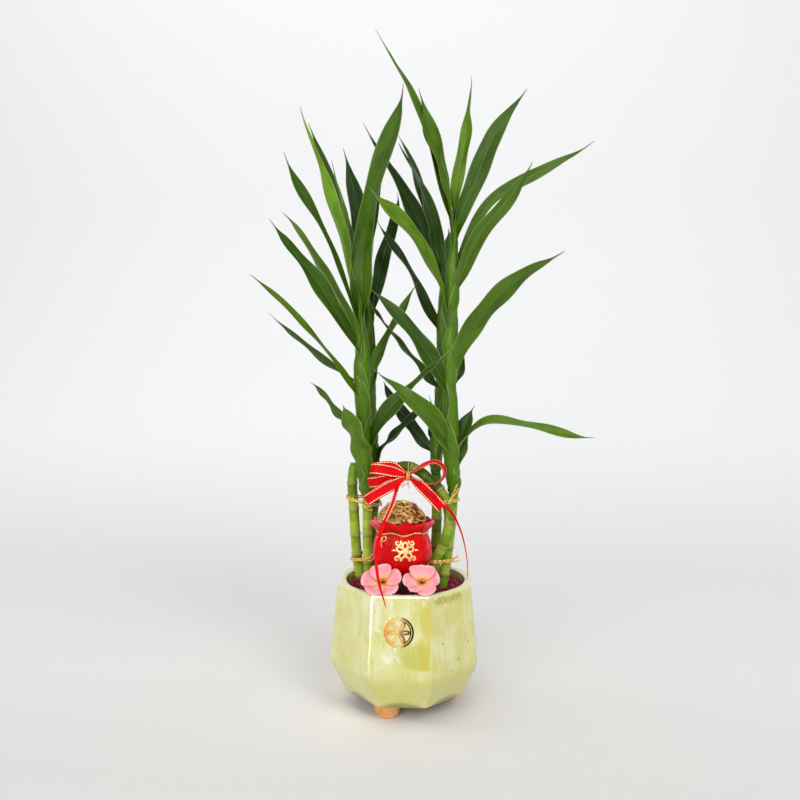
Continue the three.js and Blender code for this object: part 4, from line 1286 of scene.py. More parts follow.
@dataclass
class Foliage:
    """The four leafy shoots: a core with overlapping sheaths that open into arched blades."""

    lead: float = 0.22
    turn_over: float = 0.3
    outline: Table = (
        (0, 0.7), (0.14, 0.56), (0.32, 0.8), (0.52, 1), (0.68, 0.93), (0.8, 0.7), (0.89, 0.36),
        (0.94, 0.13), (1, 0.025),
    )
    full_outline: Table = (
        (0, 0.9), (0.15, 0.86), (0.3, 0.94), (0.5, 1), (0.7, 0.98), (0.82, 0.84), (0.9, 0.46),
        (0.94, 0.12), (1, 0.02),
    )
    sheath_run: float = 36.0
    sheath_rows: int = 16
    blade_rows: int = 40
    wide: int = 15
    layer: float = 0.75
    wrap: float = math.radians(172)
    opening: float = math.radians(68)
    opening_run: float = 0.24
    leaving_run: float = 0.2
    hook_start: float = 0.88
    cup: Table = ((0, 0.42), (0.45, 0.24), (1, 0.55))
    groove_depth: float = 0.8
    sheath_thickness: float = 0.62
    blade_thickness: float = 0.32

    def stem_radius(self, shoot: Shoot, stem: Route, z: Any) -> Any:
        """The outer radius of a stem at some heights."""
        low, high = stem.at([0, 1])[:, 2]
        return straight(shoot.radii, (z - low) / (high - low))

    def blade(
        self, leaf: Leaf, curve: Route, heading: np.ndarray, room: float, stand: float,
        draw: np.random.Generator,
    ) -> Sections:
        """The open part of a leaf.

        Args:
            leaf: Its sizes.
            curve: Its line.
            heading: The level way that it grows in.
            room: The stem's radius under it.
            stand: How far from the stem's middle it starts.
            draw: Source of its unevenness.

        Returns:
            Its sections, from the stem to the tip.
        """
        u = np.linspace(0, 1, self.blade_rows) ** 1.06
        ways = curve.way(u)
        start = across(0.6 * UP - heading, ways)
        front = np.cross(ways, start)
        if front[len(u) // 2, 1] > 0:
            front = -front
        sway = math.radians(draw.uniform(10, 30)) * np.sin(math.tau * (0.75 * u + draw.uniform(0, 1)))
        angle = math.radians(leaf.turn) * smooth(u / self.turn_over) + sway * smooth((u - 0.1) / 0.3)
        face = start * np.cos(angle)[:, None] + front * np.sin(angle)[:, None]
        stray = draw.uniform(0.3, 1.4) * np.sin(math.tau * (draw.uniform(1.1, 2.1) * u + draw.uniform(0, 1)))
        stray = stray * smooth((u - 0.15) / 0.2)
        leave = stand * (1 - smooth(u / self.leaving_run))
        hook = unit(draw.normal(size=3) + 0.5 * UP) * draw.uniform(1.5, 4.5)
        hooked = np.clip((u - self.hook_start) / (1 - self.hook_start), 0, 1) ** 2
        centre = curve.at(u) + heading * leave[:, None] + np.cross(ways, face) * stray[:, None]
        shape = eased(self.outline, u) * (1 - leaf.full) + eased(self.full_outline, u) * leaf.full
        ripple = np.sin(math.tau * (draw.uniform(2.2, 4.2) * u + draw.uniform(0, 1)))
        half = shape * leaf.width / 2 * (1 + draw.uniform(0.03, 0.1) * ripple * smooth(u / 0.2))
        spread = min(self.opening, 1.35 * half[0] / room)
        open_by = smooth(u / self.opening_run)
        half = room * spread * (1 - open_by) + half * open_by
        arch = spread + (eased(self.cup, u) - spread) * open_by
        return Sections(centre + hook * hooked[:, None], ways, face, half, arch, u)

    def sheath(
        self, stem: Route, leaf: Leaf, heading: np.ndarray, z: np.ndarray, reach: np.ndarray,
        spread: float, length: float,
    ) -> Sections:
        """The part of a leaf that wraps the stem.

        Args:
            stem: The line of its stem.
            leaf: Its sizes.
            heading: The level way that it grows in.
            z: The heights of its sections.
            reach: How far from the stem's middle they lie.
            spread: The blade's arch where it opens.
            length: The blade's length.

        Returns:
            Its sections, from below.
        """
        shares = stem.share_at_height(z)
        ways = stem.way(shares)
        out = across(heading, ways)
        arch = self.wrap + (spread - self.wrap) * ((z - z[0]) / (leaf.at - z[0])) ** 0.9
        return Sections(
            stem.at(shares) + out * reach[:, None], ways, -out, reach * arch, arch, (z - leaf.at) / length,
        )

    def add_leaf(
        self, draft: Draft, shoot: Shoot, stem: Route, leaf: Leaf, draw: np.random.Generator,
    ) -> None:
        """Adds one leaf with its sheath as a thin closed skin.

        Args:
            draft: Where it goes.
            shoot: What it grows on.
            stem: The line of that.
            leaf: Its sizes.
            draw: Source of its unevenness.
        """
        root = stem.at(stem.share_at_height(leaf.at))[0]
        rise = root + UP * self.lead * np.linalg.norm(leaf.path[0] - root)
        curve = Route([root, rise, *leaf.path])
        heading = unit((leaf.path[-1] - root) * [1, 1, 0])
        low = max(leaf.at - self.sheath_run, stem.at(0)[0, 2] + 0.5)
        z = np.linspace(low, leaf.at, self.sheath_rows, endpoint=False)
        over = [other.at - self.sheath_run for other in shoot.leaves if other.at > leaf.at]
        inner = sum((smooth((z - foot) / 8) for foot in over), np.zeros(len(z)))
        reach = self.stem_radius(shoot, stem, z) + self.layer * np.minimum(inner, 3)
        reach -= 1.1 * (1 - smooth((z - low) / 7))
        blade = self.blade(leaf, curve, heading, self.stem_radius(shoot, stem, leaf.at), reach[-1], draw)
        sheath = self.sheath(stem, leaf, heading, z, reach, blade.arch[0], curve.length)
        centre, ways, face, half, arch, along = map(np.concatenate, zip(sheath, blade))

        v = np.linspace(-1, 1, self.wide)
        v = np.sign(v) * np.abs(v) ** 0.85
        turn = (arch[:, None] * v)[..., None]
        side, face = np.cross(ways, face)[:, None], face[:, None]
        bowed = side * np.sin(turn) + face * (1 - np.cos(turn))
        points = centre[:, None] + bowed * (half / arch)[:, None, None]
        normal = face * np.cos(turn) - side * np.sin(turn)
        on_blade = smooth(along / 0.2)
        phase, beats = draw.uniform(0, math.tau), draw.uniform(2.2, 3.6)
        wave = np.sin(beats * math.tau * along[:, None] + phase + 1.4 * np.sign(v)) * v ** 2
        wave = wave * (draw.uniform(0.7, 1.9) * on_blade * np.minimum(half / 4, 1))[:, None]
        groove = np.exp(-(v / 0.3) ** 2) * (self.groove_depth * on_blade * np.minimum(half / 3, 1))[:, None]
        points = points + normal * (wave - groove)[..., None]
        thick = self.sheath_thickness + (self.blade_thickness - self.sheath_thickness) * on_blade
        thick = np.minimum(thick[:, None] * (1 - 0.55 * np.abs(v) ** 3), 0.5 * half[:, None] + 0.08)
        tint = float(np.clip(shoot.tone + leaf.bright + draw.uniform(-0.24, 0.2), 0, 1))
        draft.thin(
            points, normal * thick[..., None] / 2, v, along=along, run=along * curve.length + leaf.at,
            tint=tint, under=np.repeat([[0, 1]], self.wide, axis=1),
        )

    def build_shoot(self, shoot: Shoot, seed: int) -> None:
        """One shoot with its core and all its leaves.

        Args:
            shoot: Its sizes.
            seed: The seed of its unevenness.
        """
        draw = np.random.default_rng(seed)
        stem = Route(shoot.stem)
        share = np.linspace(0, 1, 60)
        line = stem.at(share)
        ways = stem.way(share)
        ways[0] = UP
        core = tube(line, ways, straight(shoot.radii, share) - 0.7, 20)
        draft = Draft().skin(core, along=-0.05, side=0.3, run=line[:, 2], tint=shoot.tone - 0.1)
        for leaf in shoot.leaves:
            self.add_leaf(draft, shoot, stem, leaf, draw)
        draft.build(f"{shoot.name}_leaves", [LeafBlade()], "leaf", [shoot.name], sharp=60)

    def build(self) -> None:
        """Builds and dresses every shoot."""
        for seed, shoot in enumerate(SHOOTS, start=41):
            self.build_shoot(shoot, seed)


# Wires, bow and ribbon

@dataclass(frozen=True)
class GoldWire(Finish):
    """Bright foil over a thin wire, crinkled where it was twisted."""

    name: str = "gold_wire"
    tones: tuple[str, str, str] = ("#C27E0C", "#FFC93A", "#FFF2B4")

    def paint(self, ink: Painter) -> None:
        """Creases in the foil and warm drifts.

        Args:
            ink: Lays out the nodes.
        """
        creases = ink.noise(0.8, 3, 0.6)
        ink.colour = ink.ramp(creases, *zip((0.32, 0.48, 0.64), self.tones))
        ink.shade(Metallic=0.3, Roughness=ink.scaled(creases, 0.2, 0.4))
        ink.bump(creases, 0.16, 0.8)


@dataclass(frozen=True)
class SatinRibbon(Finish):
    """Red satin with a fine cross weave."""

    name: str = "satin_ribbon"

    def paint(self, ink: Painter) -> None:
        """Weave lines across the ribbon, and a gloss along them.

        Args:
            ink: Lays out the nodes.
        """
        place = ink.laid(ink.tag("side"), ink.tag("run"))
        weave = ink.noise(1, 1, 0.4, ink.place(2.5, 4.2, 1, of=place))
        sweep = ink.noise(9, 2, 0.5)
        ink.colour = ink.mix(ink.band(sweep, 0.3, 0.7), "#C80010", "#E8040F")
        ink.over(ink.band(weave, 0.45, 0.6), 0.25, "#FF2020")
        selvage = ink.band(ink.sum("ABSOLUTE", ink.tag("side")), 0.9, 0.97)
        ink.over(selvage, 0.6, "#9A0008")
        ink.shade(
            Roughness=ink.scaled(weave, 0.36, 0.5), Specular_IOR_Level=0.08,
        )
        ink.bump(weave, 0.1, 0.5)


@dataclass(frozen=True)
class Wire:
    """A flattened wire: the two sides of its section, and the run of one full twist."""

    wide: float = 1.7
    thin: float = 0.75
    pitch: float = 6.5

    def wind(
        self, draft: Draft, points: Any, closed: bool = False,
        reference: Sequence[float] = (0.31, 0.27, 0.91),
    ) -> None:
        """Adds a length of it that twists as it runs.

        Args:
            draft: Where it goes.
            points: The points that it passes.
            closed: Whether it closes on itself.
            reference: A way that stays off its line.
        """
        route = Route(points, closed)
        share = np.linspace(0, 1, max(int(route.length / 0.7), 12), endpoint=not closed)
        ways = route.way(share)
        side = across(reference, ways)
        other = np.cross(ways, side)
        spin = (math.tau * max(round(route.length / self.pitch), 1) * share)[:, None, None]
        turn = turns(10)[None, :, None]
        a, b = np.cos(turn) * self.wide / 2, np.sin(turn) * self.thin / 2
        x, y = a * np.cos(spin) - b * np.sin(spin), a * np.sin(spin) + b * np.cos(spin)
        draft.skin(route.at(share)[:, None] + x * side[:, None] + y * other[:, None], loop=closed)


def hull_around(circles: Sequence[Sequence[float]], margin: float) -> np.ndarray:
    """Corners of the tightest loop round circles of [x, y, radius], each grown by a margin."""
    points = np.vstack([around(turns(24), radius + margin, (x, y)) for x, y, radius in circles])
    return points[convex_hull_2d(points.tolist())]


class Leg(Enum):
    """Which side of a cane's crown is meant."""

    RISING = "rising"
    FALLING = "falling"


@dataclass(frozen=True)
class Tie:
    """One gold tie: the canes it holds and where, how its loop lies, and its free end."""

    name: str
    canes: Sequence[tuple[Any, ...]]
    level: Callable[[np.ndarray], np.ndarray]
    tail: Table


TIES = (
    Tie(
        "tie_left_upper",
        [(name, 174) for name in ("cane_left_short", "cane_left_front", "cane_arch", "cane_left_back")],
        lambda x: 172 - 0.22 * (x + 40), [[-41, 4, 174], [-38, 0, 172], [-34, -3, 169], [-30, -4, 170]],
    ),
    Tie(
        "tie_left_lower",
        [("cane_left_short", 120), ("cane_left_front", 122), ("cane_arch", 123), ("cane_left_back", 123)],
        lambda x: 119.6 + 0.24 * (x + 45),
        [[-38, 2.2, 121.3], [-34.5, -0.4, 122.4], [-31, -1.5, 124], [-28.8, -3, 127.5]],
    ),
    Tie(
        "tie_right_upper",
        [("cane_right_front", 176), ("cane_arch", 176, Leg.FALLING), ("cane_right_back", 176)],
        lambda x: 176 + 0 * x, [[38.6, -12, 176], [40.4, -11.4, 181], [43, -10, 186], [45, -9.4, 191]],
    ),
    Tie(
        "tie_right_lower",
        [("cane_right_front", 124), ("cane_arch", 124, Leg.FALLING), ("cane_right_back", 124)],
        lambda x: 124 + 0 * x, [[33, -11.5, 124], [37, -9.5, 124.5], [42, -9, 126], [46, -9, 129]],
    ),
)


@dataclass
class TieSet:
    """The four gold ties round the canes."""

    room: float = 1.15
    second_turn: float = 1.7

    def circle_at(self, name: str, z: float, leg: Leg = Leg.RISING) -> tuple[float, float, float]:
        """Where a cane's leg crosses a level, and how wide it is there.

        Args:
            name: The cane.
            z: The level's height.
            leg: Which side of its crown.

        Returns:
            The circle as x, y and radius.
        """
        cane = next(cane for cane in CANES if cane.name == name)
        route = Route(cane.path)
        share = np.linspace(0, 1, 401)
        line = route.at(share)
        crown = int(line[:, 2].argmax())
        span = slice(0, crown + 1) if leg is Leg.RISING else slice(crown, None)
        k = int(np.abs(line[span, 2] - z).argmin()) + (0 if leg is Leg.RISING else crown)
        return line[k, 0], line[k, 1], cane.radius / abs(route.way(share[k])[0, 2])

    def build_tie(self, tie: Tie, seed: int) -> None:
        """One tie: two turns of wire, a twist where they meet and two free ends.

        Args:
            tie: Its sizes.
            seed: The seed of its unevenness.
        """
        draw = np.random.default_rng(seed)
        hull = hull_around([self.circle_at(*cane) for cane in tie.canes], self.room)
        draft = Draft()
        for turn, rise in enumerate((-0.5, 0.5)):
            lift = rise * self.second_turn + draw.normal(0, 0.12, len(hull))
            loop = np.column_stack([hull, tie.level(hull[:, 0]) + lift])
            Wire(pitch=6.5 + turn).wind(draft, loop[::2], True, UP)
        tail = np.array(tie.tail, float)
        Wire(2.0, 1.1, 3.0).wind(draft, tail)
        spare = tail + np.linspace(0, 1, len(tail))[:, None] * np.array([1.6, -1.2, -3.2])
        Wire(1.5, 0.8, 4.0).wind(draft, spare)
        draft.build(f"{tie.name}_wire", [GoldWire()], "gold", [tie.name])

    def build(self) -> None:
        """Builds and dresses every tie."""
        for seed, tie in enumerate(TIES, start=71):
            self.build_tie(tie, seed)


KNOT = (3.0, -10.6, 197.6)


@dataclass(frozen=True)
class Loop:
    """One loop of the bow: the way that its broad face looks, and its line from the knot and back."""

    facing: Sequence[float]
    path: Table


@dataclass(frozen=True)
class Streamer:
    """One hanging end of the ribbon, with its widths by share of its length."""

    facing: Sequence[float]
    widths: Table
    path: Table


BOW_LOOPS = (
    Loop((0.1, -1, 0.25), [
        [-12, -16, 202.5], [-24, -17, 204.5], [-29, -14, 204], [-24, -9.5, 204.5], [-11, -8.5, 205],
    ]),
    Loop((0.2, -1, -0.1), [
        [-14, -14.5, 195], [-26, -14, 192.5], [-31, -11, 192], [-26, -8.6, 193], [-12, -9, 196],
    ]),
    Loop((0.2, -1, 0.2), [
        [-13, -19, 189], [-26, -23.5, 182], [-32, -23, 178], [-27, -19, 181.5], [-13, -15, 190],
    ]),
    Loop((0, 0, 1), [
        [9, -14, 203], [17, -14.5, 208.5], [26, -15, 211], [33, -15.5, 206.5], [34, -15.5, 200],
        [29, -15, 193], [20, -14.5, 191], [11, -13, 194],
    ]),
    Loop((-0.2, -1, 0.25), [
        [15, -18, 189.5], [25, -21, 180], [32, -21.5, 172.5], [26, -17.5, 178.5], [15, -14.5, 188.5],
    ]),
)
BOW_STREAMERS = (
    Streamer((-0.6, -1, 0), [[0, 2.6], [0.1, 3.4], [0.3, 3.6], [0.8, 2.2], [1, 0.5]], [
        KNOT, [-3.5, -13.5, 193.5], [-9, -33, 177], [-15, -43, 163], [-19, -50, 148], [-20, -55, 136],
        [-17.5, -60, 120], [-14, -63, 109], [-11, -64, 99.5],
    ]),
    Streamer((0.5, -1, 0.2), [[0, 2.6], [0.1, 3.2], [0.3, 3.2], [0.6, 1.5], [1, 0.35]], [
        KNOT, [9, -15, 194], [20, -21.5, 187.5], [32, -20, 177], [42, -16, 165], [49, -14, 149],
        [53, -14.5, 131], [54, -15.5, 119], [53.4, -16.5, 110],
    ]),
)


@dataclass
class Strip:
    """A run of ribbon: places, the ways across and out of it, its widths, and the length up to each."""

    place: np.ndarray
    side: np.ndarray
    face: np.ndarray
    width: np.ndarray
    run: np.ndarray


@dataclass
class RibbonBow:
    """The satin bow: five pinched loops, two streamers, gold threads along its edges and its wire."""

    width: float = 9.5
    thickness: float = 0.4
    pinch: float = 0.42
    pinch_run: float = 0.22
    wide: int = 11
    thread_place: float = 0.8
    row_gap: float = 0.9
    dash: float = 1.5
    dash_gap: float = 0.65
    dash_start: float = 3.5
    dash_room: float = 3.5
    knot_radius: float = 3.0
    cut_width: float = 0.0101
    least_share: float = 0.301
    arch_round: tuple[float, float, float] = (0.0, 203.6, 4.6)
    lean: float = 0.3

    def loop_strip(self, loop: Loop, phase: float) -> Strip:
        """A loop whose width keeps one direction, gathered where it meets the knot.

        Args:
            loop: Its line.
            phase: Where its sway starts.

        Returns:
            The strip.
        """
        route = Route([KNOT, *loop.path, KNOT])
        share = np.linspace(0, 1, int(route.length / self.row_gap))
        ways, place = route.way(share), route.at(share)
        if loop.facing[1] == 0:
            leaning = self.lean * unit(place - place.mean(0)) + [0, 1, 0]
        else:
            leaning = unit(np.cross(route.at(0.5) - KNOT, loop.facing))
        side = across(leaning, ways)
        face = np.cross(side, ways)
        nearness = np.minimum(share, 1 - share)
        pinched = self.pinch + (1 - self.pinch) * smooth(nearness / self.pinch_run)
        sway = 0.35 * np.sin(share * 11 + phase) * smooth(nearness / 0.2)
        return Strip(place + face * sway[:, None], side, face, self.width * pinched, share * route.length)

    def streamer_strip(self, streamer: Streamer) -> Strip:
        """A hanging end whose face is carried along without twisting.

        Args:
            streamer: Its line and widths.

        Returns:
            The strip.
        """
        route = Route(streamer.path)
        share = np.linspace(0, 1, int(route.length / self.row_gap))
        ways = route.way(share)
        face = np.zeros_like(ways)
        held = streamer.facing
        for k, way in enumerate(ways):
            held = across(held, way)
            face[k] = held
        widths = eased(streamer.widths, share)
        return Strip(route.at(share), np.cross(ways, face), face, widths, share * route.length)

    def surface(self, strip: Strip, v: np.ndarray, high: float) -> np.ndarray:
        """Points over a strip, softly folded where it is narrow.

        Args:
            strip: The strip.
            v: Places across it, from -1 to 1.
            high: How far out from its middle layer.

        Returns:
            Rows, points and coordinates.
        """
        half = strip.width[:, None] / 2
        gathered = np.clip(1 - strip.width / self.width, 0, 1)[:, None]
        fold = 0.75 * gathered * np.cos(3 * math.pi * v) * (half / (self.width / 2))
        fold += 0.04 * half * v ** 2
        return (
            strip.place[:, None] + strip.side[:, None] * (half * v)[..., None]
            + strip.face[:, None] * (fold + high)[..., None]
        )

    def add_strip(self, draft: Draft, strip: Strip) -> float:
        """Adds a strip as a thin closed skin, and gives its flat area.

        Args:
            draft: Where it goes.
            strip: The strip.

        Returns:
            The area in square millimetres.
        """
        v = np.linspace(-1, 1, self.wide)
        draft.thin(self.surface(strip, v, 0), strip.face[:, None] * self.thickness / 2, v, run=strip.run)
        return float(np.trapz(strip.width, strip.run))

    def add_threads(self, draft: Draft, strip: Strip) -> None:
        """Adds dashes of gold thread near both edges, on both faces.

        Args:
            draft: Where they go.
            strip: The ribbon under them.
        """
        stride = self.dash + self.dash_gap
        count = int((strip.run[-1] - 5) / stride)
        for k in range(count):
            begin = self.dash_start + k * stride
            here = np.linspace(begin, begin + self.dash, 4)
            picked = [np.array([np.interp(here, strip.run, column) for column in source.T]).T
                      for source in (strip.place, strip.side, strip.face)]
            width = np.interp(here, strip.run, strip.width)
            if width.min() < self.dash_room:
                continue
            piece = Strip(picked[0], unit(picked[1]), unit(picked[2]), width, here)
            for edge in (-self.thread_place, self.thread_place):
                for way in (1, -1):
                    reach = 0.36 / (width.mean() / 2)
                    v = np.array([edge - reach, edge, edge + reach])
                    low = self.surface(piece, v, way * self.thickness * 0.35)
                    high = self.surface(piece, v[::-1], way * (self.thickness / 2 + 0.16))
                    high[[0, -1]] -= piece.face[[0, -1], None] * way * 0.12
                    draft.skin(np.concatenate([low, high], axis=1))

    def build_ribbon(self) -> None:
        """The ribbon with its knot, and the threads."""
        ribbon, threads = Draft(), Draft()
        strips = [self.loop_strip(loop, 1.7 * k) for k, loop in enumerate(BOW_LOOPS)]
        strips += [self.streamer_strip(streamer) for streamer in BOW_STREAMERS]
        area = sum(self.add_strip(ribbon, strip) for strip in strips)
        for strip in strips:
            self.add_threads(threads, strip)
        turn = turns(28)
        rise = np.linspace(-math.pi / 2, math.pi / 2, 16)
        knot = np.zeros((len(rise), len(turn), 3))
        fold = 1 + 0.1 * np.cos(7 * turn)[None] * np.cos(rise)[:, None]
        reach = self.knot_radius * np.maximum(np.cos(rise), 0.04)[:, None] * fold
        knot[..., 0] = KNOT[0] + self.knot_radius * 0.95 * np.sin(rise)[:, None]
        knot[..., 1] = KNOT[1] + reach * np.cos(turn)
        knot[..., 2] = KNOT[2] + reach * np.sin(turn)
        ribbon.skin(knot, side=0.2, run=rise * 3)
        bow = ribbon.build("bow_ribbon", [SatinRibbon()], "ribbon", ["ribbon_bow"], sharp=60)
        pale = GoldWire("gold_thread", ("#E0A048", "#FFE2A4", "#FFF6DC"))
        gold = threads.build("bow_gold_threads", [pale], "gold")

    def build_wire(self) -> None:
        """The wire that hangs the bow, wound round the knot, with short twisted ends."""
        x, y, z = KNOT
        draft = Draft()
        hull = hull_around([self.arch_round, (y, z, 3.6)], 0.95)[::2]
        loop = np.column_stack([np.full(len(hull), x), hull])
        Wire(0.9, 0.6).wind(draft, loop, True, (1, 0, 0))
        for slide in (-1.0, 0.2, 1.3):
            turn = turns(16)
            wound = np.column_stack([slide + 0.4 * np.sin(turn), 3.5 * np.cos(turn), 3.7 * np.sin(turn)])
            Wire(1.1, 0.7, 3.0).wind(draft, wound + KNOT, True, (1, 0, 0))
        low = [x, y - 1, z - 5.2]
        for end in ([low, [1, -13.4, 190.5], [-2, -14.5, 190], [-1, -15.5, 188]],
                    [low, [3.4, -12.4, 190], [4.6, -13.4, 187.6]]):
            Wire(1.5, 0.9, 2.6).wind(draft, end)
        draft.build("bow_wire_bound", [GoldWire()], "gold", ["bow_wire"])

    def build(self) -> None:
        """Builds and dresses the bow."""
        self.build_wire()
        self.build_ribbon()


# Money bag

@dataclass(frozen=True)
class RedLacquer(Finish):
    """Glossy red paint over a cast body: painted shade in the neck folds, pink sides partly painted sheen."""

    name: str = "red_lacquer"

    def paint(self, ink: Painter) -> None:
        """Brushed drifts, pink sides partly painted sheen, painted shade in the folds, and a soft dimpling.

        Args:
            ink: Lays out the nodes.
        """
        drift = ink.noise(12, 3, 0.55)
        ink.colour = ink.mix(ink.band(drift, 0.3, 0.7), "#C00002", "#E60206")
        # Painted shade in the pleat valleys by the neck.
        ink.over(ink.tag("fold"), 0.6, "#6E0002")
        # Pink at the sides of the collar and belly: partly the real pink paint, partly painted sheen.
        pink_sheen = ink.sum("MULTIPLY", ink.tag("pearl"), ink.band(ink.noise(6, 3, 0.6), 0.3, 0.6))
        ink.over(pink_sheen, 0.72, "#E87A90")
        ink.shade(
            Roughness=ink.scaled(drift, 0.3, 0.45), Coat_Weight=0.12,
            Coat_Roughness=0.1, Specular_IOR_Level=0.08,
        )
        ink.bump(ink.noise(4, 3), 0.35, 0.4)


@dataclass(frozen=True)
class OldCoin(Finish):
    """Painted bronze: brown in the hollows and gold where it was rubbed."""

    name: str = "old_coin"

    def paint(self, ink: Painter) -> None:
        """Rubbed rims, brown faces and patches of each.

        Args:
            ink: Lays out the nodes.
        """
        patch = ink.noise(3.2, 4, 0.6)
        rubbed = ink.sum("MAXIMUM", ink.tag("rim"), ink.sum("MULTIPLY", ink.band(patch, 0.5, 0.7), 0.6))
        ink.colour = ink.mix(rubbed, ink.ramp(patch, (0.3, "#7C4A14"), (0.6, "#BE8C3C")), "#EECE7C")
        ink.over(ink.tag("red"), ink.band(patch, 0.56, 0.44), "#7C1C12")
        ink.shade(
            Metallic=0.5, Roughness=ink.scaled(patch, 0.28, 0.5),
            Coat_Weight=0.25, Coat_Roughness=0.2,
        )
        ink.bump(patch, 0.25, 0.5)


@dataclass
class MoneyBag:
    """The cast money bag on its pick: pleated collar, neck cord, heap of coins and gilt ornament."""

    centre: tuple[float, float] = (-1.7, -16.0)
    depth_share: float = 0.76
    base: float = 113.0
    pleats: int = 9
    sides: int = 180
    neck_height: float = 38.4
    profile: Table = (
        (0, 9.5, 0), (1.2, 13.5, 0), (4, 17.4, 0), (10, 22.2, 0), (20, 25.4, 0.1), (29, 24, 0.6),
        (35, 21.8, 0.8),
        (38.4, 20.6, 0.8), (41, 22.2, 1.3), (44.5, 24.7, 2), (46.6, 25.2, 2.3), (47.4, 24.6, 2.2),
    )
    heap_height: float = 48.0
    coin_radius: float = 7.8
    coin_thickness: float = 1.7
    pick_radius: float = 2.2
    pick_foot: float = 70.0
    pick_place: tuple[float, float] = (-0.7, -14.0)
    lip: Table = ((0.35, -0.35), (0.9, -0.45), (1.5, -0.15), (1.9, 0.8), (2.2, 2.2), (2.6, 3.6))
    flute: float = 0.018
    girth: float = 22.5

    def surface(self, height: Any, angle: Any, proud: Any = 0.0) -> np.ndarray:
        """Points on the bag.

        Args:
            height: Height over its base.
            angle: Angle round its axis.
            proud: How far out.

        Returns:
            Their coordinates.
        """
        height, angle, proud = np.broadcast_arrays(height, angle, proud)
        table = np.array(self.profile, float)
        half, pleat = eased(table[:, :2], height), straight(table[:, [0, 2]], height)
        folds = np.cos(self.pleats * angle + 0.6) + 0.28 * np.cos(2 * self.pleats * angle + 2.1)
        gathered = 0.32 * np.exp(-((height - self.neck_height) / 4.5) ** 2)
        gathered = gathered * np.cos(34 * angle + np.sin(5 * angle))
        reach = half + pleat * folds + gathered + proud
        above = smooth((height - self.neck_height) / 2)
        lift = above * pleat * 0.55 * np.sin(self.pleats * angle + 1.4)
        return np.stack([
            self.centre[0] + reach * np.cos(angle),
            self.centre[1] + (reach - proud) * self.depth_share * np.sin(angle) + proud * np.sin(angle),
            self.base + height + lift,
        ], axis=-1)

    def build_body(self) -> None:
        """The bag, one closed shell with its mouth turned in over the coins."""
        angle = turns(self.sides)
        heights = np.concatenate([np.linspace(0, 1, 5) ** 2 * 3, np.linspace(3.6, self.profile[-1][0], 70)])
        outer = self.surface(heights[:, None], angle)
        rim = outer[-1]
        out = unit((rim - [*self.centre, 0.0]) * [1, 1, 0])
        rows = np.vstack([outer, [rim - out * inset - UP * drop for inset, drop in self.lip]])
        heights = np.concatenate([heights, np.full(len(self.lip), self.profile[-1][0])])
        # The fold tag puts painted shade in the pleat valleys near the neck.
        folds = 0.5 - 0.5 * np.cos(self.pleats * angle + 0.6)
        near_neck = np.exp(-((heights - self.neck_height - 1) / 3.5) ** 2)
        collar = smooth((heights - self.neck_height - 3) / 5)
        # The pink at the sides of the collar and belly is partly real paint, partly painted sheen.
        sideways = smooth((np.abs(np.cos(angle)) - 0.72) / 0.2)
        edge = smooth((np.abs(np.cos(angle)) - 0.78) / 0.2) * 0.6
        belly = smooth((heights - 12) / 8) * (1 - collar)
        pearl = collar[:, None] * sideways + belly[:, None] * edge
        draft = Draft().skin(rows, fold=near_neck[:, None] * folds, pearl=np.clip(pearl, 0, 1))
        draft.build("money_bag_body", [RedLacquer()], "lacquer", ["money_bag"], sharp=60)

    def build_cord(self) -> None:
        """The gilt cord round the neck, laid in waves."""
        angle = turns(72)
        loop = self.surface(self.neck_height, angle, 0.75)
        loop[:, 2] = self.base + self.neck_height + 0.9 * np.sin(6 * angle + 0.8)
        draft = Draft()
        Wire(1.35, 1.0, 4.0).wind(draft, loop, True, UP)
        draft.build("money_bag_cord", [GoldWire()], "gold", ["bag_cord"])

    def drawn_at(self, out: float, height: float) -> Callable[..., np.ndarray]:
        """What maps a flat drawing to the bag round a place on its front."""
        return lambda u, v, high: self.surface(height + v, (out + u) / self.girth - math.pi / 2, high)

    def build_ornament(self) -> None:
        """A gilt blossom between scrolls on the front, and a small gilt bow at the left of the neck."""
        relief = Relief(self.drawn_at(3.5, 25.4), lift=0.03, thickness=0.4)
        turn = turns(20)
        for way in turns(5) + math.pi / 2:
            petal = around(way, 4.3 + 2.6 * np.cos(turn)) + around(way + math.pi / 2, 1.9 * np.sin(turn))
            relief.stroke(petal, 1.6, closed=True)
        relief.circle((0, 0), 0.75, 1.3, 18)
        for flip in (-1, 1):
            for rise in (-1, 1):
                curl = np.linspace(0, 2.3 * math.pi, 34)
                scroll = around(curl + 2.6, 3.3 * np.exp(-0.24 * curl), (6.2, 6.6)) * [flip, rise]
                relief.stroke(scroll, np.linspace(1.7, 0.9, 34))
            arch = 0.5 * np.sin(np.linspace(0, math.pi, 9))
            leaf = np.column_stack([flip * np.linspace(7.4, 10.6, 9), arch])
            relief.stroke(leaf, 1.4 * np.sin(np.linspace(0.25, math.pi - 0.2, 9)))
        side_bow = Relief(self.drawn_at(-19.4, 33.2), lift=0.03, thickness=0.45)
        for flip in (-1, 1):
            turn = turns(26)
            wing = around(turn, 2.6 + 0.91 * np.cos(turn), (2.9, 1.5)) * [flip, 0.8]
            side_bow.stroke(wing, 0.7, closed=True)
            fall = -0.5 - 5.2 * np.linspace(0, 1, 10) ** 0.8
            end = np.column_stack([flip * np.linspace(0.3, 3.4, 10), fall])
            side_bow.stroke(end, 0.65)
        side_bow.circle((0, 0.6), 0.6, 1.0, 16)
        gilt = GoldPrint("gilt_paint", metallic=0.45)
        relief.draft.build("money_bag_blossom", [gilt], "gold")
        side_bow.draft.build("money_bag_bow", [gilt], "gold")

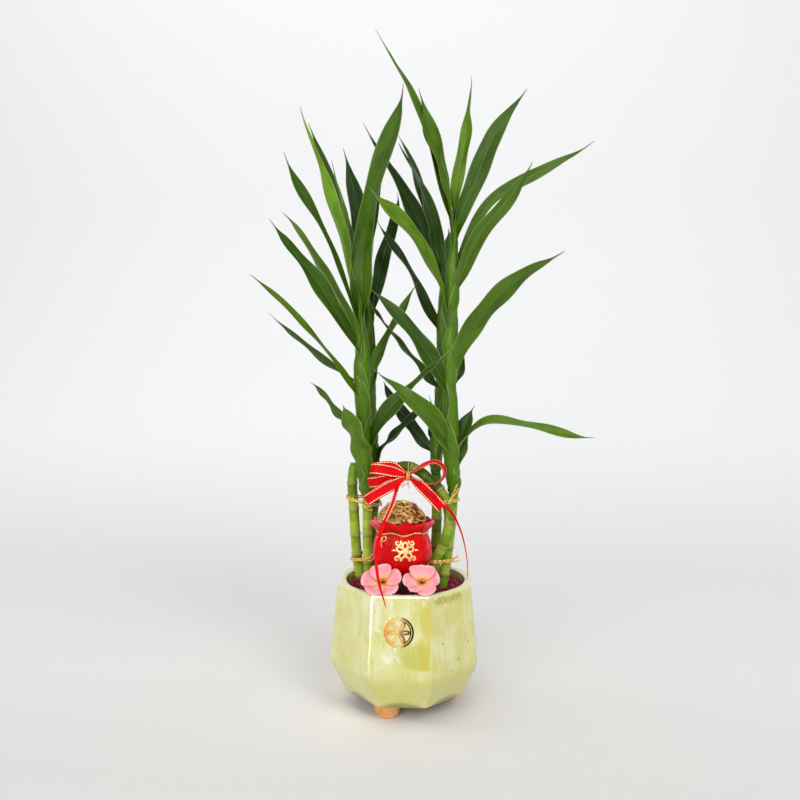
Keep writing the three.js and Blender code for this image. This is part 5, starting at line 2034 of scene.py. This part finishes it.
    def add_coin(self, draft: Draft, coin: Sequence[float], red: float) -> None:
        """Adds one coin with raised rims, a ring inside them and a fluted edge.

        Args:
            draft: Where it goes.
            coin: Its x, y and z, its tilt and the way it leans, in degrees.
            red: How much of the bag's red is on it.
        """
        x, y, z, lean, way = coin
        r, t = self.coin_radius, self.coin_thickness / 2
        reach, high, rims = np.transpose([
            (0.3, t - 0.2, 0.35), (r * 0.3, t - 0.2, 0.35), (r * 0.36, t - 0.1, 0.5), (r * 0.4, t - 0.1, 0.5),
            (r * 0.46, t - 0.35, 0.2), (r - 1.1, t - 0.35, 0.2), (r - 0.9, t, 0.9), (r - 0.3, t, 0.9),
            (r, t - 0.25, 0.7), (r, 0.25 - t, 0.5), (r - 0.3, -t, 0.7), (r - 0.9, -t, 0.9),
            (r - 1.1, 0.3 - t, 0.1), (0.3, 0.3 - t, 0.3),
        ])
        rows = turned(np.column_stack([reach, high]), 72)
        rows[reach == r, 1::2, :2] *= 1 - self.flute
        turned_by = np.array(Euler((0, math.radians(lean), math.radians(way))).to_matrix())
        rows = rows @ turned_by.T
        rows += [self.centre[0] + x, self.centre[1] + y, self.base + self.heap_height + z]
        draft.skin(rows, rim=rims, red=red)

    def build_coins(self) -> None:
        """The heap: a low mound under three rings of coins, each nudged at random."""
        draw = np.random.default_rng(5)
        heap = [(0.5, -3), (17, -2.4), (21, -0.4), (19.8, 3), (14.4, 8), (7.5, 11.4), (0.5, 12.6)]
        mound = turned(heap, 48)
        mound[..., 1] *= self.depth_share
        mound += [*self.centre, self.base + self.heap_height]
        draft = Draft().skin(mound, red=1.0)
        for count, reach, high, lean in ((9, 15.8, 5.8, 50), (6, 10.2, 10.6, 34), (3, 4.2, 13.8, 12)):
            for k in range(count):
                way = 360 * (k + 0.25 + draw.uniform(-0.2, 0.2)) / count
                x, y = around(math.radians(way), reach + 1.9 * (k % 2)) * [1, self.depth_share]
                coin = (
                    x, y, high + draw.uniform(-0.5, 0.5), lean + draw.uniform(-5, 5),
                    way + draw.uniform(-6, 6),
                )
                self.add_coin(draft, coin, float(draw.uniform(0, 1) > 0.6))
        draft.build("money_bag_coins", [OldCoin()], "coin", ["bag_coins"], sharp=35)

    def build_pick(self) -> None:
        """The stick that holds the bag up."""
        z = np.linspace(self.pick_foot, self.base + 9.5, 30)
        line = np.array([[*self.pick_place, height] for height in z])
        stick = Draft().skin(tube(line, UP, self.pick_radius, 20))
        stick.build("money_bag_pick", [GREEN_PICK], "pick", ["bag_pick"])

    def build(self) -> None:
        """Builds and dresses the bag and what is on it."""
        self.build_body()
        self.build_cord()
        self.build_ornament()
        self.build_coins()
        self.build_pick()


# Blossoms

@dataclass(frozen=True)
class ClothPetal(Finish):
    """Dyed cloth petal: orange in the throat, pink outside, paler towards the edge."""

    name: str = "cloth_petal"

    def paint(self, ink: Painter) -> None:
        """The dye's spread from the throat, veins and a fine weave.

        Args:
            ink: Lays out the nodes.
        """
        out = ink.tag("out")
        place = ink.laid(ink.tag("side"), ink.tag("out"), ink.tag("tint"))
        veins = ink.noise(0.09, 3, 0.5, ink.place(1, 0.12, 1, of=place))
        spread = ink.sum("ADD", out, ink.scaled(veins, -0.1, 0.1))
        ink.colour = ink.ramp(
            spread, (0.0, "#D8602A"), (0.17, "#F0A04C"), (0.29, "#F8BC8C"), (0.4, "#FBB0B2"),
            (0.75, "#F89EA8"), (1.0, "#FDCACC"),
        )
        ink.over(ink.band(veins, 0.45, 0.7), 0.22, "#E87E90")
        weave = ink.noise(0.45, 2, 0.5)
        ink.shade(
            Roughness=0.8, Sheen_Weight=0.08, Sheen_Roughness=0.5, Specular_IOR_Level=0.2,
            Subsurface_Weight=0.12, Subsurface_Scale=0.002,
        )
        ink.bump(veins, 0.3, 0.5)
        ink.bump(weave, 0.08, 0.5)


@dataclass(frozen=True)
class Petal:
    """One petal: its bearing round the bloom, length, width and cup in degrees."""

    bearing: float
    length: float
    width: float
    cup: float


@dataclass(frozen=True)
class Bloom:
    """One cloth blossom."""

    name: str
    centre: Sequence[float]
    normal: Sequence[float]
    petals: Sequence[Petal]
    drop: float = 9.0

    def bend(self) -> np.ndarray:
        """Where its pick turns upright."""
        return np.array(self.centre, float) - self.drop * unit(self.normal)


BLOOMS = (
    Bloom("blossom_left", (-16, -40.2, 113), (-0.05, -0.52, 0.85), (
        Petal(178, 18, 16, 16), Petal(104, 13, 17, 38), Petal(12, 16, 16, 18), Petal(238, 17.5, 16, 15),
        Petal(304, 17, 15, 14),
    )),
    Bloom("blossom_right", (16, -39.2, 113.2), (0.04, -0.52, 0.85), (
        Petal(184, 16, 14, 16), Petal(90, 13, 20, 38), Petal(14, 15, 17, 18), Petal(234, 15, 13, 16),
        Petal(292, 17, 15, 17),
    )),
)


@dataclass
class BlossomPair:
    """The two cloth blossoms on their picks."""

    outline: Table = (
        (0, 0.34), (0.2, 0.62), (0.45, 0.97), (0.68, 1.08), (0.85, 0.92), (0.95, 0.6), (1, 0.16),
    )
    thickness: float = 0.36
    rows: int = 22
    wide: int = 17
    throat_radius: float = 3.2
    span: float = 0.037
    stamens: int = 9
    pick_radius: float = 1.2
    pick_foot: float = 66.0
    soil_top: float = 92.0

    @staticmethod
    def bearing(normal: np.ndarray, turn: float) -> np.ndarray:
        """The way out from a bloom's middle at an angle from its right."""
        right = across((1, 0, 0), normal)
        return right * math.cos(turn) + np.cross(normal, right) * math.sin(turn)

    def add_petal(
        self, draft: Draft, middle: np.ndarray, normal: np.ndarray, petal: Petal, draw: np.random.Generator,
    ) -> float:
        """Adds one cupped petal with a wavy edge, and gives its area.

        Args:
            draft: Where it goes.
            middle: The blossom's middle.
            normal: The way the blossom faces.
            petal: Its sizes.
            draw: Source of its unevenness.

        Returns:
            The area in square millimetres.
        """
        out = self.bearing(normal, math.radians(petal.bearing))
        side = np.cross(normal, out)
        slope = math.tan(math.radians(petal.cup))
        s, v = np.linspace(0, 1, self.rows)[:, None], np.linspace(-1, 1, self.wide)
        place = middle + petal.length * (out * s + normal * slope * (1.3 * s - 0.55 * s * s))
        face = np.cross(unit(out + normal * slope * (1.3 - 1.1 * s)), side)[:, None]
        half = eased(self.outline, s) * petal.width / 2
        phase = draw.uniform(0, 6.3)
        ruffle = 0.75 * np.sin(5.5 * s + 3.2 * v + phase) * s ** 1.5 * np.abs(v) ** 1.5
        fall = 0.405 * s ** 4 * np.cos(4 * v + phase)
        raised = 0.2 * half * v ** 2 + ruffle - fall - 0.3 * np.exp(-(v / 0.1) ** 2)
        points = place[:, None] + side * (half * v)[..., None] + face * raised[..., None]
        draft.thin(points, face * self.thickness / 2, v, out=s[:, 0], tint=float(draw.uniform(0, 5)))
        return float(np.trapz(2 * half[:, 0], s[:, 0] * petal.length))

    def build_bloom(self, bloom: Bloom, seed: int) -> None:
        """One blossom with its throat, bead and stamens, and its pick.

        Args:
            bloom: Its sizes.
            seed: The seed of its unevenness.
        """
        draw = np.random.default_rng(seed)
        middle, normal = np.array(bloom.centre, float), unit(bloom.normal)
        draft = Draft()
        area = sum(self.add_petal(draft, middle, normal, petal, draw) for petal in bloom.petals)
        ends = middle + normal * np.array([[-2.0], [-1.0], [0.0], [0.5]])
        throat = [1.5, 2.3, self.throat_radius, self.throat_radius * 0.9]
        draft.skin(tube(ends, normal, throat, 24, (1, 0, 0)), out=0.08)
        cloth = draft.build(f"{bloom.name}_petals", [ClothPetal()], "petal", [bloom.name], sharp=60)
        bead = middle + normal * np.array([[0.3], [0.9], [1.6], [2.1], [2.3]])
        eye = Draft().skin(tube(bead, normal, [0.9, 1.15, 0.95, 0.5, 0.1], 16, (1, 0, 0)))
        for k in range(self.stamens):
            out = self.bearing(normal, math.tau * (k + draw.uniform(-0.2, 0.2)) / self.stamens)
            reach = draw.uniform(2.4, 3.4)
            stalk = Route([middle + normal * 0.4 + out * 0.8, middle + normal * 1.9 + out * reach * 0.7,
                           middle + normal * 2.9 + out * reach])
            share = np.linspace(0, 1, 8)
            rows = tube(stalk.at(share), stalk.way(share), [0.14] * 6 + [0.34, 0.2], 8, normal)
            eye.skin(rows, slot=k % 2)
        centre_piece = eye.build(f"{bloom.name}_eye", [DARK_EYE, ClothPetal()], "petal")
        top = middle - normal * (2.3 + self.pick_radius * 0.6)
        bend = bloom.bend()
        x, y, _ = bend
        route = Route([[x, y + 1.5, self.pick_foot], [x, y + 0.5, self.soil_top], bend, top])
        share = np.linspace(0, 1, 40)
        pick = Draft().skin(tube(route.at(share), route.way(share), self.pick_radius, 14))
        held = pick.build(f"{bloom.name}_stick", [GREEN_PICK], "pick", [f"{bloom.name}_pick"])
        LOG.info("%s: %.0f square mm of cloth", bloom.name, area)

    def build(self) -> None:
        """Builds and dresses both blossoms."""
        for seed, bloom in enumerate(BLOOMS, start=91):
            self.build_bloom(bloom, seed)


# Gravel and soil

@dataclass
class GroundCover:
    """The soil, and the dyed gravel over it."""

    reach: float = 50.6
    bed_low: float = 92.3
    bed_top: float = 98.9
    chips: int = 1700
    clear: float = 0.4
    level: float = 100.0
    level_band: float = 4.0

    def stems(self) -> list[tuple[float, float, float]]:
        """What stands in the gravel, as [x, y, radius].

        Returns:
            One entry for each stem.
        """
        found = []
        for cane in CANES:
            line = Route(cane.path).at(np.linspace(0, 1, 400))
            there = np.abs(line[:, 2] - self.level) < self.level_band
            found += [(x, y, cane.radius) for x, y, _ in line[there][::2]]
        found.append((*MoneyBag.pick_place, MoneyBag.pick_radius))
        for bloom in BLOOMS:
            x, y, _ = bloom.bend()
            found.append((x, y + 0.3, BlossomPair.pick_radius))
        return found

    def build_gravel(self) -> None:
        """A rough bed with loose chippings over all of it."""
        draw = np.random.default_rng(3)
        radii = np.linspace(self.reach, 1.5, 26)
        rows = turned([(self.reach, self.bed_low)] + [(r, self.bed_top) for r in radii], 90)
        for point in rows[2:].reshape(-1, 3):
            point[2] += 1.1 * field_noise.noise((point[0] / 3.5, point[1] / 3.5, 1.0))
        # The bed is tinted darker than the chippings: painted shade between them.
        draft = Draft().skin(rows, tint=0.15)
        stems = np.array(self.stems())
        block = bmesh.new()
        bmesh.ops.create_icosphere(block, subdivisions=1, radius=1)
        ball = np.array([v.co for v in block.verts])
        faces = [[v.index for v in face.verts] for face in block.faces]
        block.free()
        for _ in range(self.chips):
            size = draw.uniform(0.9, 1.75)
            x, y = around(draw.uniform(0, math.tau), (self.reach - size) * math.sqrt(draw.uniform(0, 1)))
            if np.any(np.hypot(stems[:, 0] - x, stems[:, 1] - y) < stems[:, 2] + size + self.clear):
                continue
            shape = ball * draw.uniform(0.72, 1.25, (len(ball), 1)) * draw.uniform(0.65, 1.2, 3) * size
            spin = np.linalg.qr(draw.normal(size=(3, 3)))[0]
            z = self.bed_top + draw.uniform(0.1, 2.1)
            draft.add(shape @ spin.T + [x, y, z], faces, tint=float(np.clip(draw.normal(0.5, 0.24), 0, 1)))
        draft.build("gravel_chippings", [DyedGravel()], "gravel", ["gravel"], sharp=25)

    def dress_soil(self) -> None:
        """Gives the packed soil its finish."""
        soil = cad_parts["soil"]
        soil.data.materials.clear()
        soil.data.materials.append(POTTING_SOIL.material())

    def build(self) -> None:
        """Builds and dresses the ground."""
        self.build_gravel()
        self.dress_soil()


# Studio

@dataclass
class Studio:
    """Paper sweep, soft lights and the camera at the photograph's place."""

    eye: tuple[float, float, float] = (42.1, -638.6, 287.0)
    heading: float = 4.2
    pitch: float = -2.2
    lens: float = 33.17
    sensor: float = 36.0
    wall_distance: float = 1.15
    wall_height: float = 2.6
    sweep: float = 0.7
    half_width: float = 3.0
    daylight: float = 0.46
    glazed: bpy.types.Collection = field(default_factory=lambda: bpy.data.collections.new("glazed"))

    def build_camera(self) -> None:
        """The camera, level side to side and looking slightly down."""
        data = bpy.data.cameras.new("camera")
        data.lens, data.sensor_width = self.lens, self.sensor
        data.clip_start, data.clip_end = 0.01, 50
        camera = bpy.data.objects.new("camera", data)
        camera.location = metres(self.eye)
        camera.rotation_euler = Euler((math.radians(90 + self.pitch), 0, math.radians(self.heading)), "XYZ")
        bpy.context.scene.collection.objects.link(camera)
        bpy.context.scene.camera = camera

    def build_sweep(self) -> None:
        """The paper: flat under the pot, then curved up behind it."""
        turn = np.linspace(0, math.pi / 2, 24)
        bend = np.column_stack([
            self.wall_distance - self.sweep + self.sweep * np.sin(turn), self.sweep * (1 - np.cos(turn)),
        ])
        floor = np.column_stack([np.linspace(-3.2, 0.4, 61), np.zeros(61)])
        outline = np.vstack([floor, bend, [[self.wall_distance, self.wall_height]]])
        rows = np.array([[[x, y, z] for y, z in outline] for x in (-self.half_width, self.half_width)]) / MM
        # The wall and near tags place the paper's painted shade.
        draft = Draft().skin(
            rows, ring=False, capped=False, wall=smooth(rows[..., 2] / 450 + rows[..., 1] / 1600),
            near=smooth((60 - rows[..., 1]) / 220),
        )
        draft.build("paper_sweep", [StudioPaper()], sharp=80)

    def add_light(
        self, name: str, place: Sequence[float], target: Sequence[float], size: tuple[float, float],
        power: float, glints_only: bool = False,
    ) -> None:
        """One soft box.

        Args:
            name: Its name.
            place: Where it hangs, in metres.
            target: What it looks at.
            size: Its width and height.
            power: Its power in watts.
            glints_only: Whether it only shows in the pot's gloss.
        """
        data = bpy.data.lights.new(name, "AREA")
        data.shape = "RECTANGLE"
        data.size, data.size_y = size
        data.energy = power
        lamp = bpy.data.objects.new(name, data)
        lamp.visible_diffuse = not glints_only
        if glints_only:
            lamp.light_linking.receiver_collection = self.glazed
        lamp.location = place
        way = np.array(target, float) - np.array(place, float)
        lamp.rotation_euler = (
            math.acos(-way[2] / np.linalg.norm(way)), 0, math.atan2(way[1], way[0]) - math.pi / 2,
        )
        bpy.context.scene.collection.objects.link(lamp)

    def build_world(self) -> None:
        """Even daylight all round."""
        world = bpy.data.worlds.new("daylight")
        world.use_nodes = True
        background = world.node_tree.nodes["Background"]
        background.inputs["Color"].default_value = (0.97, 0.985, 1.0, 1)
        background.inputs["Strength"].default_value = self.daylight
        bpy.context.scene.world = world

    def build(self) -> None:
        """Sets up the studio."""
        scene = bpy.context.scene
        scene.view_settings.view_transform = "Standard"
        self.build_camera()
        self.build_sweep()
        self.build_world()
        self.add_light("key_box", (1.0, -1.3, 1.6), (0, 0, 0.2), (0.9, 1.2), 16)
        self.add_light("front_box", (-0.7, -1.7, 0.85), (0, 0, 0.2), (1.4, 0.9), 16)
        self.add_light("wall_wash", (-0.5, 0.1, 2.4), (-0.3, 1.0, 0.8), (2.4, 0.8), 13)
        self.add_light("edge_strip", (-0.38, -0.33, 0.16), (0, 0, 0.07), (0.34, 0.42), 16, glints_only=True)
        self.add_light("lip_strip", (0.0, -0.75, 0.62), (0, 0, 0.1), (0.5, 0.25), 10, glints_only=True)


def main() -> None:
    """Builds the arrangement piece by piece, and the studio round it."""
    logging.basicConfig(level=logging.INFO, format="%(name)s %(message)s")
    studio = Studio()
    plant = (Pot(), GroundCover(), CaneStand(), Foliage(), TieSet(), RibbonBow(), MoneyBag(), BlossomPair())
    for assembly in (studio, *plant):
        LOG.info("building %s", type(assembly).__name__)
        assembly.build()
    studio.glazed.objects.link(bpy.data.objects["pot_body"])


if __name__ == "__main__":
    main()
